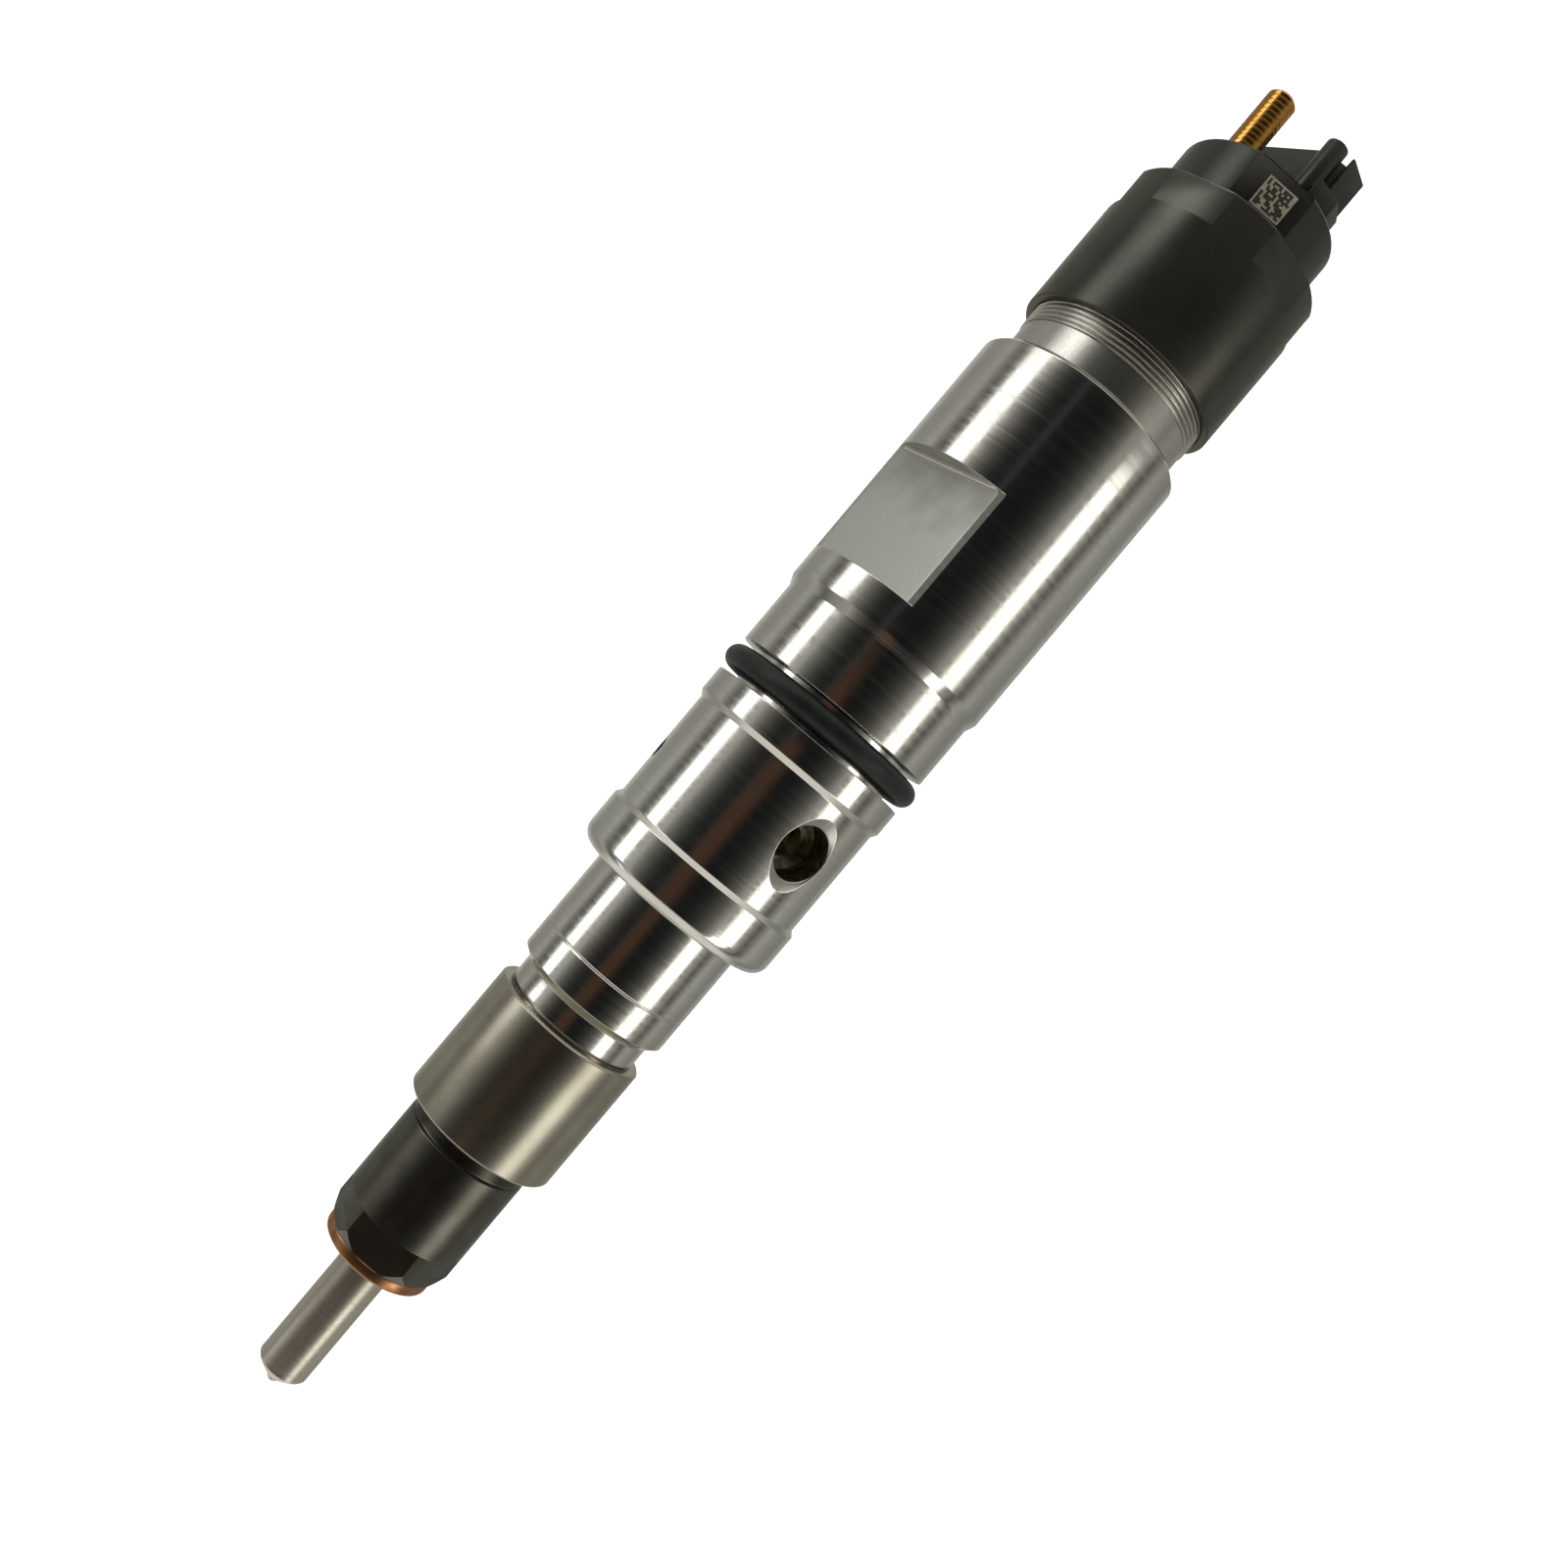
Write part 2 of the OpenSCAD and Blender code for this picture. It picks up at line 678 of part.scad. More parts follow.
module armature_clip() {
    gap_w = 1.6;
    color(STEEL) difference() {
        ring(clip_groove_r, clip_r, plate_top_z, plate_top_z + clip_t);
        translate([0, -gap_w / 2, plate_top_z - 1]) cube([clip_r + 1, gap_w, clip_t + 2]);
    }
}

module lift_shim() {
    color(STEEL) ring(chamber_r + valve_stem_gap, magnet_sleeve_r, body_top_z, magnet_z);
}

module magnet_core() {
    color([0.28, 0.28, 0.30]) difference() {
        rod(core_r, magnet_z, magnet_top_z);
        rod(core_bore_r, magnet_z - eps, magnet_top_z + eps);
        ring(pole_r, slot_r, magnet_z - eps, slot_top_z);
        at_terminals() rod(insulator_r + bobbin_gap, slot_top_z - eps, magnet_top_z + eps);
    }
}

module magnet_sleeve() {
    color(STEEL) ring(core_r + valve_stem_gap, magnet_sleeve_r, magnet_z, magnet_top_z);
}

module coil_bobbin() {
    inner = pole_r + bobbin_gap;
    outer = slot_r - bobbin_gap;
    low = magnet_z + 0.2;
    high = slot_top_z - 0.2;
    color([0.12, 0.10, 0.08]) union() {
        ring(inner, inner + bobbin_wall, low, high);
        ring(inner, outer, low, low + bobbin_wall);
        ring(inner, outer, high - bobbin_wall, high);
    }
}

module coil_winding() {
    color(COPPER) ring(pole_r + bobbin_gap + bobbin_wall, slot_r - 0.3,
        magnet_z + 0.2 + bobbin_wall, slot_top_z - 0.2 - bobbin_wall);
}

module pin_insulators() {
    color([0.85, 0.82, 0.75]) at_terminals() ring(pin_r, insulator_r, slot_top_z, cover_foot_z);
}

module contact_pins() {
    color(BRASS) at_terminals() rod(pin_r, slot_top_z - 0.2, stud_collar_z);
}

module valve_spring() {
    color(STEEL) coil_spring(1.3, 0.5, 7, bolt_top_z, valve_spring_top_z);
}

module valve_spring_shim() {
    color(STEEL) rod(spigot_r, valve_spring_top_z, valve_spring_top_z + valve_shim_t);
}

module solenoid_o_ring() {
    color(RUBBER) round_ring(solenoid_ring_reach, solenoid_ring_section,
        magnet_top_z + solenoid_ring_section / 2);
}

module solenoid_nut() {
    flats_h = solenoid_nut_top_z - solenoid_flats_z + 1;
    color(DARK_STEEL) difference() {
        union() {
            rod(solenoid_nut_r, solenoid_nut_z, solenoid_flats_z);
            intersection() {
                rod(solenoid_nut_r, solenoid_flats_z - eps, solenoid_nut_top_z);
                facing(solenoid_flats_azimuth) translate([0, 0, solenoid_flats_z - eps])
                    cylinder(d = solenoid_nut_af / cos(30), h = flats_h, $fn = 6);
            }
        }
        rod(thread_r + bobbin_gap, solenoid_nut_z - eps, solenoid_thread_top_z);
        rod(solenoid_bore_r, solenoid_thread_top_z - eps, solenoid_lip_z);
        rod(cover_r + 0.1, solenoid_lip_z - eps, solenoid_nut_top_z + eps);
    }
}

// Fence on the deck: a partition between the studs, a pillar and a stepped guard with a rear wall.
module terminal_fence() {
    low = deck_z - eps;
    tall = fence_z - low;
    pillar_r = 1.5;
    translate([0, 0, low]) {
        rotate([0, 0, wall_angle]) translate([-wall_near, -wall_front, 0])
            cube([wall_near + wall_far, wall_front + wall_back, tall]);
        linear_extrude(height = tall) hull() {
            translate([2.9, -5.0]) circle(r = pillar_r, $fn = 32);
            translate([2.9, -3.7]) circle(r = pillar_r, $fn = 32);
        }
        linear_extrude(height = tall) guard_outline();
        linear_extrude(height = guard_step_z - low) guard_foot();
    }
}

// Plan of the guard: a slanted front face, a side and a rear wall that runs back to the partition.
module guard_outline() {
    near = [5.2, -5.8];
    corner = [8.4, -2.6];
    back = 0.5;
    wall_end = 1.2;
    inset = guard_t / sin(67.5) * cos(67.5);
    polygon([
        near, corner, [corner[0], back], [wall_end, back], [wall_end, back - guard_t],
        [corner[0] - guard_t, back - guard_t], [corner[0] - guard_t, corner[1] + inset],
        [near[0], near[1] + guard_t * sqrt(2)]
    ]);
}

// Plan of the guard's foot, which stands further out below the step.
module guard_foot() {
    polygon([[3.6, -8.3], [7.2, -6.9], [8.7, -3.4], [8.7, -2.0], [6.8, -2.0], [3.6, -4.6]]);
}

module terminal_cover() {
    color(PLASTIC) difference() {
        union() {
            rod(magnet_sleeve_r, cover_foot_z, solenoid_lip_z);
            rod(cover_r, solenoid_lip_z - eps, deck_z);
            rod(spigot_r, valve_spring_top_z + valve_shim_t, cover_foot_z + eps);
            terminal_fence();
        }
        facing(pad_azimuth) translate([-cover_r, -pad_reach - cover_r, solenoid_nut_top_z])
            cube([2 * cover_r, cover_r, deck_z - solenoid_nut_top_z + 1]);
        at_terminals() {
            rod(pin_r + bobbin_gap, cover_foot_z - eps, stud_collar_z + eps);
            rod(stud_collar_r + bobbin_gap, stud_collar_z, stud_collar_top_z);
            rod(stud_root_r + bobbin_gap, stud_collar_top_z - eps, deck_z + 1);
        }
    }
}

module terminal_studs() {
    color(BRASS) at_terminals() {
        rod(stud_collar_r, stud_collar_z, stud_collar_top_z);
        rod(stud_root_r, stud_collar_top_z - eps, stud_thread_z + eps);
        rod(stud_r, stud_thread_z, stud_top_z - stud_chamfer);
        taper(stud_r, stud_r - stud_chamfer, stud_top_z - stud_chamfer, stud_top_z);
    }
}

module code_label() {
    color(LABEL) facing(pad_azimuth) translate([label_shift - label_w / 2, -pad_reach - label_t, label_z])
        cube([label_w, label_t, label_h]);
}

nozzle_body();
nozzle_needle();
nozzle_dowel_pins();
nozzle_retaining_nut();
sealing_washer();
spring_seat();
nozzle_spring();
spring_shim();
injector_body();
body_o_ring();
control_plunger();
valve_seal_ring();
valve_piece();
valve_clamp_nut();
valve_ball();
ball_retainer();
armature_bolt();
armature_guide();
overtravel_spring();
armature_plate();
armature_clip();
lift_shim();
magnet_core();
magnet_sleeve();
coil_bobbin();
coil_winding();
pin_insulators();
contact_pins();
valve_spring();
valve_spring_shim();
solenoid_o_ring();
solenoid_nut();
terminal_cover();
terminal_studs();
code_label();
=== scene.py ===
"""Diesel fuel injector: fine turned meshes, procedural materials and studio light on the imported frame."""

import json
import math
import random

import bmesh
import bpy
import numpy as np
from mathutils import Matrix, Vector


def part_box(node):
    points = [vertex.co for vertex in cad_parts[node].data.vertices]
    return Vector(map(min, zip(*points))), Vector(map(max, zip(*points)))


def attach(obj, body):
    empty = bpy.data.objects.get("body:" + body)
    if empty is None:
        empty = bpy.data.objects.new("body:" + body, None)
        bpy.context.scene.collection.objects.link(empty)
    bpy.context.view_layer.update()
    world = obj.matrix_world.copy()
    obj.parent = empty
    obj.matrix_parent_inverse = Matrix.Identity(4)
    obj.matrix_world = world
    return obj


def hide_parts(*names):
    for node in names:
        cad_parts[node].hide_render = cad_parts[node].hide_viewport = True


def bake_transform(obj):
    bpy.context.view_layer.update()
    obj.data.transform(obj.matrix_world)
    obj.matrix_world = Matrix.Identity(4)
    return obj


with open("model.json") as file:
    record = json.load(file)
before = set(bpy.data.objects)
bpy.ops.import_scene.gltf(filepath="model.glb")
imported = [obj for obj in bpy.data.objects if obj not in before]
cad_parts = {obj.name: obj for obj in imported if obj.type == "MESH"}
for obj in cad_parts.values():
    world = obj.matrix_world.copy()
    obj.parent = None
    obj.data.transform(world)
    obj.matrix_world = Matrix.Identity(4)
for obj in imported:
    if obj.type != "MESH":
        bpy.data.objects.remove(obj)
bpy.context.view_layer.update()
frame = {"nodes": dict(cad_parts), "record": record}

MM = 0.001
AROUND = 256  # segments of a turned surface
HOUSING = "housing"

# Lengths in mm below which points count as one, lie in a plane, lie on the axis or lie near it
WELD = 1e-4
IN_PLANE = 1e-5
ON_AXIS = 1e-6
NEAR_AXIS = 1e-3

# Azimuths are measured about Z, in degrees from -Y towards +X, as in the record's mounts.
MOUNTS = {m["name"]: m for m in frame["record"]["mounts"]}


def azimuth_of(mount):
    """The azimuth that a mount's axis points to."""
    x, y, _ = MOUNTS[mount]["axis"]
    return math.degrees(math.atan2(x, -y))


def radial(azimuth):
    """The level unit vector at an azimuth."""
    a = math.radians(azimuth)
    return Vector((math.sin(a), -math.cos(a), 0.0))


INLET_AZIMUTH = azimuth_of("fuel_inlet")
LEAK_AZIMUTH = azimuth_of("leak_off")
FLAT_AZIMUTHS = [azimuth_of("clamp_flat_a"), azimuth_of("clamp_flat_b")]


# ---------------------------------------------------------------- reading the frame


def cad_points(node):
    """The vertices of a CAD node, in mm."""
    mesh = frame["nodes"][node].data
    co = np.zeros(len(mesh.vertices) * 3)
    mesh.vertices.foreach_get("co", co)
    return co.reshape(-1, 3) / MM


def cut_loops(node, at, normal):
    """The closed loops of points, in mm, where a plane cuts a CAD node."""
    bm = bmesh.new()
    bm.from_mesh(frame["nodes"][node].data)
    bmesh.ops.scale(bm, vec=(1 / MM,) * 3, verts=bm.verts)
    bmesh.ops.remove_doubles(bm, verts=bm.verts, dist=WELD)
    cut = bmesh.ops.bisect_plane(
        bm, geom=bm.verts[:] + bm.edges[:] + bm.faces[:], dist=IN_PLANE,
        plane_co=at, plane_no=normal, clear_outer=True,
    )
    edges = [e for e in cut["geom_cut"] if isinstance(e, bmesh.types.BMEdge)]
    loops = [[v.co.copy() for v in loop] for loop in walk(edges)]
    bm.free()
    return loops


def section(node, azimuth):
    """The largest closed outline (r, z), in mm, where a half-plane through the axis cuts a CAD node."""
    out = radial(azimuth)
    points = cad_points(node)
    reach = np.hypot(points[:, 0], points[:, 1])
    rings = np.unique(np.round(np.column_stack([reach, points[:, 2]]), 4), axis=0)
    best = None
    for loop in cut_loops(node, (0, 0, 0), Vector((-out.y, out.x, 0.0))):
        outline = clip_to_axis([(p.dot(out), p.z) for p in loop])
        if len(outline) > 2 and (best is None or area(outline) > area(best)):
            best = outline
    return tidy([snap(p, rings) for p in best])


def walk(edges):
    """Orders loose cut edges into closed loops of vertices."""
    links = {}
    for e in edges:
        a, b = e.verts
        links.setdefault(a, []).append(b)
        links.setdefault(b, []).append(a)
    loops = []
    while links:
        loop = [next(iter(links))]
        while True:
            ahead = [v for v in links[loop[-1]] if v not in loop]
            if not ahead:
                break
            loop.append(ahead[0])
        for v in loop:
            del links[v]
        links = {v: [w for w in near if w in links] for v, near in links.items()}
        loops.append(loop)
    return loops


def clip_to_axis(outline):
    """Keeps the part of a closed outline with r >= 0."""
    kept = []
    for i, (r1, z1) in enumerate(outline):
        r0, z0 = outline[i - 1]
        if (r0 < 0) != (r1 < 0):
            t = r0 / (r0 - r1)
            kept.append((0.0, z0 + t * (z1 - z0)))
        if r1 >= 0:
            kept.append((r1, z1))
    return kept


def area(outline):
    """The area inside a closed outline."""
    return abs(sum(a[0] * b[1] - b[0] * a[1] for a, b in zip(outline, outline[1:] + outline[:1]))) / 2


SAME_HEIGHT = 2e-3
CHORD_SLACK = 1.012  # a circle's radius over the shortest radius of a facet that spans it, at most


def snap(point, rings):
    """Moves a cut point on a facet's chord out to the true circle that the facet spans."""
    r, z = point
    near = rings[np.abs(rings[:, 1] - z) < SAME_HEIGHT]
    near = near[(near[:, 0] > r - SAME_HEIGHT / 2) & (near[:, 0] < r * CHORD_SLACK + SAME_HEIGHT)]
    return (float(near[:, 0].min()), z) if len(near) else point


def tidy(outline, tolerance=0.012):
    """Drops repeated points and those that lie on the line between their neighbours."""
    points = [p for i, p in enumerate(outline) if math.dist(p, outline[i - 1]) > SAME_HEIGHT]
    i = 0
    while i < len(points) and len(points) > 3:
        a, p, b = points[i - 1], points[i], points[(i + 1) % len(points)]
        cross = (p[0] - a[0]) * (b[1] - a[1]) - (p[1] - a[1]) * (b[0] - a[0])
        if abs(cross) < tolerance * math.dist(a, b):
            points.pop(i)
            i = max(0, i - 1)
        else:
            i += 1
    return points


def plan(node, z):
    """The closed (x, y) outlines, in mm, where a level plane cuts a CAD node."""
    return [tidy([(p.x, p.y) for p in loop]) for loop in cut_loops(node, (0, 0, z), (0, 0, 1))]


# ---------------------------------------------------------------- mesh building, in mm


def soften(outline, radius, steps=4, shallow=22, shallow_cut=0.4, share=0.45):
    """Rounds each corner of a closed outline by a radius, and each shallow one, in degrees, by a fixed cut.

    No cut takes more than its share of a side, and points on the axis stay.
    """
    out = []
    for i, p in enumerate(outline):
        a, b = Vector(outline[i - 1]), Vector(outline[(i + 1) % len(outline)])
        p = Vector(p)
        back, ahead = a - p, b - p
        turn = math.degrees(math.pi - back.angle(ahead))
        if abs(p.x) < ON_AXIS:
            out.append(tuple(p))
            continue
        reach = share * min(back.length, ahead.length)
        cut = shallow_cut if turn < shallow else radius * math.tan(math.radians(turn) / 2)
        cut = min(cut, reach)
        start, end = p + back.normalized() * cut, p + ahead.normalized() * cut
        for k in range(steps + 1):
            t = k / steps
            out.append(tuple(start * (1 - t) ** 2 + p * 2 * t * (1 - t) + end * t * t))
    return out


def new_mesh(name, bm):
    """An object made from a bmesh, with its faces turned outwards."""
    bmesh.ops.recalc_face_normals(bm, faces=bm.faces)
    if bm.calc_volume(signed=True) < 0:
        bmesh.ops.reverse_faces(bm, faces=bm.faces)
    mesh = bpy.data.meshes.new(name)
    bm.to_mesh(mesh)
    bm.free()
    obj = bpy.data.objects.new(name, mesh)
    bpy.context.scene.collection.objects.link(obj)
    return obj


def lathe(name, outline, around=AROUND):
    """A closed solid of revolution from a closed (r, z) outline."""
    bm = bmesh.new()
    rings = []
    for r, z in outline:
        if r < ON_AXIS:
            rings.append([bm.verts.new((0, 0, z))] * around)
        else:
            turns = [math.tau * k / around for k in range(around)]
            rings.append([bm.verts.new((r * math.cos(a), r * math.sin(a), z)) for a in turns])
    for i, low in enumerate(rings):
        high = rings[(i + 1) % len(rings)]
        if low[0] is low[1] and high[0] is high[1]:
            continue
        for k in range(around):
            n = (k + 1) % around
            corners = list(dict.fromkeys([low[k], low[n], high[n], high[k]]))
            bm.faces.new(corners)
    return new_mesh(name, bm)


def prism(name, plan, low, high):
    """A vertical prism over a closed (x, y) plan."""
    bm = bmesh.new()
    floor = [bm.verts.new((x, y, low)) for x, y in plan]
    roof = [bm.verts.new((x, y, high)) for x, y in plan]
    bm.faces.new(floor)
    bm.faces.new(roof)
    for i in range(len(plan)):
        n = (i + 1) % len(plan)
        bm.faces.new([floor[i], floor[n], roof[n], roof[i]])
    return new_mesh(name, bm)


def roof_rounded(obj, width, segments=3):
    """Rounds the edges round the top face of an upright prism."""
    bm = bmesh.new()
    bm.from_mesh(obj.data)
    top = max(v.co.z for v in bm.verts)
    edges = [e for e in bm.edges if all(v.co.z > top - WELD for v in e.verts)]
    bmesh.ops.bevel(
        bm, geom=edges, offset=width, segments=segments, profile=0.5, affect="EDGES", clamp_overlap=True,
    )
    bm.to_mesh(obj.data)
    bm.free()
    return obj


def place(obj, matrix):
    """Moves a mesh's points by a matrix."""
    obj.data.transform(matrix)
    return obj


def facing(azimuth):
    """Turns a thing made at azimuth zero, towards -Y, to another azimuth."""
    return Matrix.Rotation(math.radians(azimuth), 4, "Z")


def across(azimuth, z):
    """Lays a lathe made along +Z out along an azimuth, at height z."""
    return facing(azimuth) @ Matrix.Translation((0, 0, z)) @ Matrix.Rotation(math.radians(90), 4, "X")


def combine(piece, other, operation):
    """Applies an exact boolean of another object to a piece and removes the other."""
    modifier = piece.modifiers.new("cut", "BOOLEAN")
    modifier.operation = operation
    modifier.solver = "EXACT"
    modifier.object = other
    bpy.context.view_layer.update()
    dg = bpy.context.evaluated_depsgraph_get()
    mesh = bpy.data.meshes.new_from_object(piece.evaluated_get(dg))
    piece.modifiers.clear()
    old = piece.data
    piece.data = mesh
    bpy.data.meshes.remove(old)
    bpy.data.objects.remove(other)
    return piece


def turned_normals(mesh, sharp=30, level=0.03, cosine=0.9995, widest=3.0):
    """Smooth shading with the exact azimuth of a turned surface on each of its narrow faces' corners.

    Faces that lie level, that don't look along their own azimuth or that are wider than a turned face, in
    degrees round the axis, keep their plain normals.
    """
    mesh.polygons.foreach_set("use_smooth", [True] * len(mesh.polygons))
    mesh.set_sharp_from_angle(angle=math.radians(sharp))
    corners = np.array([c.vector for c in mesh.corner_normals])
    for p in mesh.polygons:
        n, c = p.normal, p.center
        flat, reach = math.hypot(n.x, n.y), math.hypot(c.x, c.y)
        if flat < level or reach < NEAR_AXIS:
            continue
        side = (n.x * c.x + n.y * c.y) / (flat * reach)
        if abs(side) < cosine:
            continue
        spread = max(c.to_2d().angle(mesh.vertices[v].co.to_2d(), 0) for v in p.vertices)
        if spread > math.radians(widest):
            continue
        for k in p.loop_indices:
            v = mesh.vertices[mesh.loops[k].vertex_index].co
            r = math.hypot(v.x, v.y)
            if r < ON_AXIS:
                continue
            up = corners[k][2]
            outward = math.copysign(math.sqrt(max(0.0, 1 - up * up)), side)
            corners[k] = (v.x / r * outward, v.y / r * outward, up)
    mesh.normals_split_custom_set(corners.tolist())


def finish_piece(piece, node, material=None, sharp=30):
    """Gives a piece its shading, material and body, and lets it stand for its CAD node."""
    turned_normals(piece.data, sharp)
    piece.data.transform(Matrix.Scale(MM, 4))
    piece.data.materials.clear()
    piece.data.materials.append(material or FINISHES[SLOT_OF[node]])
    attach(piece, HOUSING)
    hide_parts(node)
    return piece


SLOT_OF = {s["node"]: s["material_slot"] for s in frame["record"]["subparts"]}


def reach_of(mount):
    """A mount's distance from the axis, in mm."""
    return Vector(MOUNTS[mount]["pos_m"]).to_2d().length / MM


def height_of(mount):
    """A mount's height, in mm."""
    return MOUNTS[mount]["pos_m"][2] / MM


def span_near(outline, reach, height, wide, tall):
    """Heights of the lower and the upper end of an outline's points near a place."""
    near = [z for r, z in outline if abs(r - reach) < wide and abs(z - height) < tall]
    return min(near), max(near)


CLOSE = 0.02  # two radii of one outline that differ by less are the same

# Features of the body and the cover, in mm and degrees. The free azimuths meet no flat, port, hole or fence.
FREE_AZIMUTH = 80
COVER_FREE_AZIMUTH = -110
NECK_Z = 136.5
FLAT_FILLET = 0.6
FLAT_REACH = reach_of("clamp_flat_a")
FLAT_SPAN = span_near(
    section("injector_body", FLAT_AZIMUTHS[0]), FLAT_REACH, height_of("clamp_flat_a"), wide=1, tall=12)
INLET = MOUNTS["fuel_inlet"]
INLET_Z = height_of("fuel_inlet")
INLET_LAND = min(
    r for r, z in section("injector_body", FREE_AZIMUTH) if abs(z - INLET_Z) < 9 and r > 10)
RIM_R = 5.2
MOUTH_REACH = reach_of("fuel_inlet") + INLET["dims"]["length_mm"] / 2
CONE_REACH = 7.2


# ---------------------------------------------------------------- materials


class Nodes:
    """Short calls for the nodes of one tree, over one set of coordinates."""

    def __init__(self, tree, space):
        self.tree = tree
        self.coordinates = self.node("ShaderNodeTexCoord").outputs[space]

    def node(self, kind, links=(), **settings):
        """A node with its settings, and with each input linked to a socket or set to a value."""
        n = self.tree.nodes.new(kind)
        for key, value in settings.items():
            setattr(n, key, value)
        for key, value in links.items() if links else ():
            if isinstance(value, bpy.types.NodeSocket):
                self.tree.links.new(value, n.inputs[key])
            else:
                n.inputs[key].default_value = value
        return n

    def noise(self, scale, detail=4.0, stretch=(1, 1, 1)):
        """Noise with about scale features a millimetre, stretched along each axis."""
        per_metre = [scale / MM * k for k in stretch]
        mapped = self.node("ShaderNodeMapping", {"Vector": self.coordinates, "Scale": per_metre})
        n = self.node("ShaderNodeTexNoise", {"Vector": mapped.outputs[0], "Scale": 1.0, "Detail": detail})
        return n.outputs["Fac"]

    def range(self, value, low, high, to_low=0.0, to_high=1.0):
        """A value from low to high, mapped to another span and held at its ends."""
        n = self.node("ShaderNodeMapRange", {0: value, 1: low, 2: high, 3: to_low, 4: to_high})
        return n.outputs[0]

    def math(self, operation, a, b=0.0):
        """The result of one sum."""
        return self.node("ShaderNodeMath", {0: a, 1: b}, operation=operation).outputs[0]

    def mix(self, factor, a, b):
        """The colour a at factor 0 and b at factor 1."""
        n = self.node("ShaderNodeMix", {0: factor, 6: a, 7: b}, data_type="RGBA")
        return n.outputs[2]

    def vector(self, operation, a, b=(0, 0, 0)):
        """Vector maths; its outputs are the vector and the value."""
        return self.node("ShaderNodeVectorMath", {0: a, 1: b}, operation=operation).outputs

    def parts(self):
        """The x, y and z of the coordinates."""
        return self.node("ShaderNodeSeparateXYZ", {0: self.coordinates}).outputs

    def ramp(self, value, stops):
        """Colours along a value from 0 to 1."""
        n = self.node("ShaderNodeValToRGB", {0: value})
        points = n.color_ramp.elements
        while len(points) < len(stops):
            points.new(1.0)
        for point, (position, colour) in zip(points, stops):
            point.position, point.color = position, colour
        return n.outputs[0]


class Material(Nodes):
    """A Principled material in object coordinates, in metres."""

    def __init__(self, name, **sockets):
        self.material = bpy.data.materials.new(name)
        self.material.use_nodes = True
        super().__init__(self.material.node_tree, "Object")
        self.shader = self.tree.nodes["Principled BSDF"]
        for key, value in sockets.items():
            self.shader.inputs[key.replace("_", " ").title().replace("Ior", "IOR")].default_value = value

    def within(self, value, low, high, soft=0.05):
        """One where a length in metres lies between two in mm, zero elsewhere."""
        rise = self.range(value, (low - soft) * MM, low * MM)
        fall = self.range(value, (high + soft) * MM, high * MM)
        return self.math("MULTIPLY", rise, fall)

    def above(self, z, soft=0.05):
        """One above a height in mm, zero below it."""
        return self.range(self.parts()[2], (z - soft) * MM, z * MM)

    def edge_wear(self, radius, low=0.02, high=0.12):
        """One along the piece's sharp edges, zero elsewhere."""
        bevel = self.node("ShaderNodeBevel", {"Radius": radius * MM}, samples=6)
        plain = self.node("ShaderNodeNewGeometry").outputs["Normal"]
        dot = self.node("ShaderNodeVectorMath", {0: bevel.outputs[0], 1: plain}, operation="DOT_PRODUCT")
        return self.range(self.math("SUBTRACT", 1.0, dot.outputs["Value"]), low, high)

    def set(self, socket, value):
        """Links a value to a socket of the shader."""
        self.tree.links.new(value, self.shader.inputs[socket])

    def bump(self, heights, strength=0.3, edge=0.0):
        """Chains (height, depth in mm) pairs into one bump, over edges rounded to a radius in mm."""
        normal = self.node("ShaderNodeBevel", {"Radius": edge * MM}, samples=8).outputs[0] if edge else None
        for value, depth in heights:
            links = {"Height": value, "Distance": depth * MM, "Strength": strength}
            if normal is not None:
                links["Normal"] = normal
            normal = self.node("ShaderNodeBump", links).outputs[0]
        self.set("Normal", normal)


def rgb(*values):
    """An opaque colour."""
    return (*values, 1.0)


AROUND_Z = (0.01, 0.01, 1)  # stretches noise into rings round the axis


def turned_steel(name, light, dark, roughness, ring_depth, tint=None, anisotropy=0.4, spread=0.02,
                 patches=None, edge=0.0, metallic=1.0):
    """Ground or turned steel: fine rings round the axis, faint stains, and patches with another finish."""
    m = Material(name, metallic=metallic, anisotropic=anisotropy)
    tangent = m.node("ShaderNodeTangent", direction_type="RADIAL", axis="Z")
    m.set("Tangent", tangent.outputs[0])
    stain = m.noise(0.12, 5.0, (1, 1, 0.6))
    rings = m.noise(9.0, 2.0, AROUND_Z)
    coarse = m.noise(1.6, 3.0, AROUND_Z)
    colour = m.mix(m.range(stain, 0.4, 0.75), rgb(*light), rgb(*dark))
    if tint:
        colour = m.mix(m.range(coarse, 0.55, 0.8, 0.0, 0.35), colour, rgb(*tint))
    wander = m.math("ADD", m.range(stain, 0.3, 0.8, -0.02, 0.04), m.range(rings, 0.3, 0.7, -spread, spread))
    wander = m.math("ADD", wander, m.range(coarse, 0.3, 0.7, -spread, spread))
    rough = m.math("ADD", wander, roughness)
    for mask, patch_colour, patch_roughness in patches(m) if patches else ():
        colour = m.mix(mask, colour, patch_colour)
        rough = m.range(mask, 0.0, 1.0, rough, patch_roughness)
    m.set("Base Color", colour)
    m.set("Roughness", rough)
    m.bump([(rings, ring_depth), (coarse, ring_depth * 2)], edge=edge)
    return m


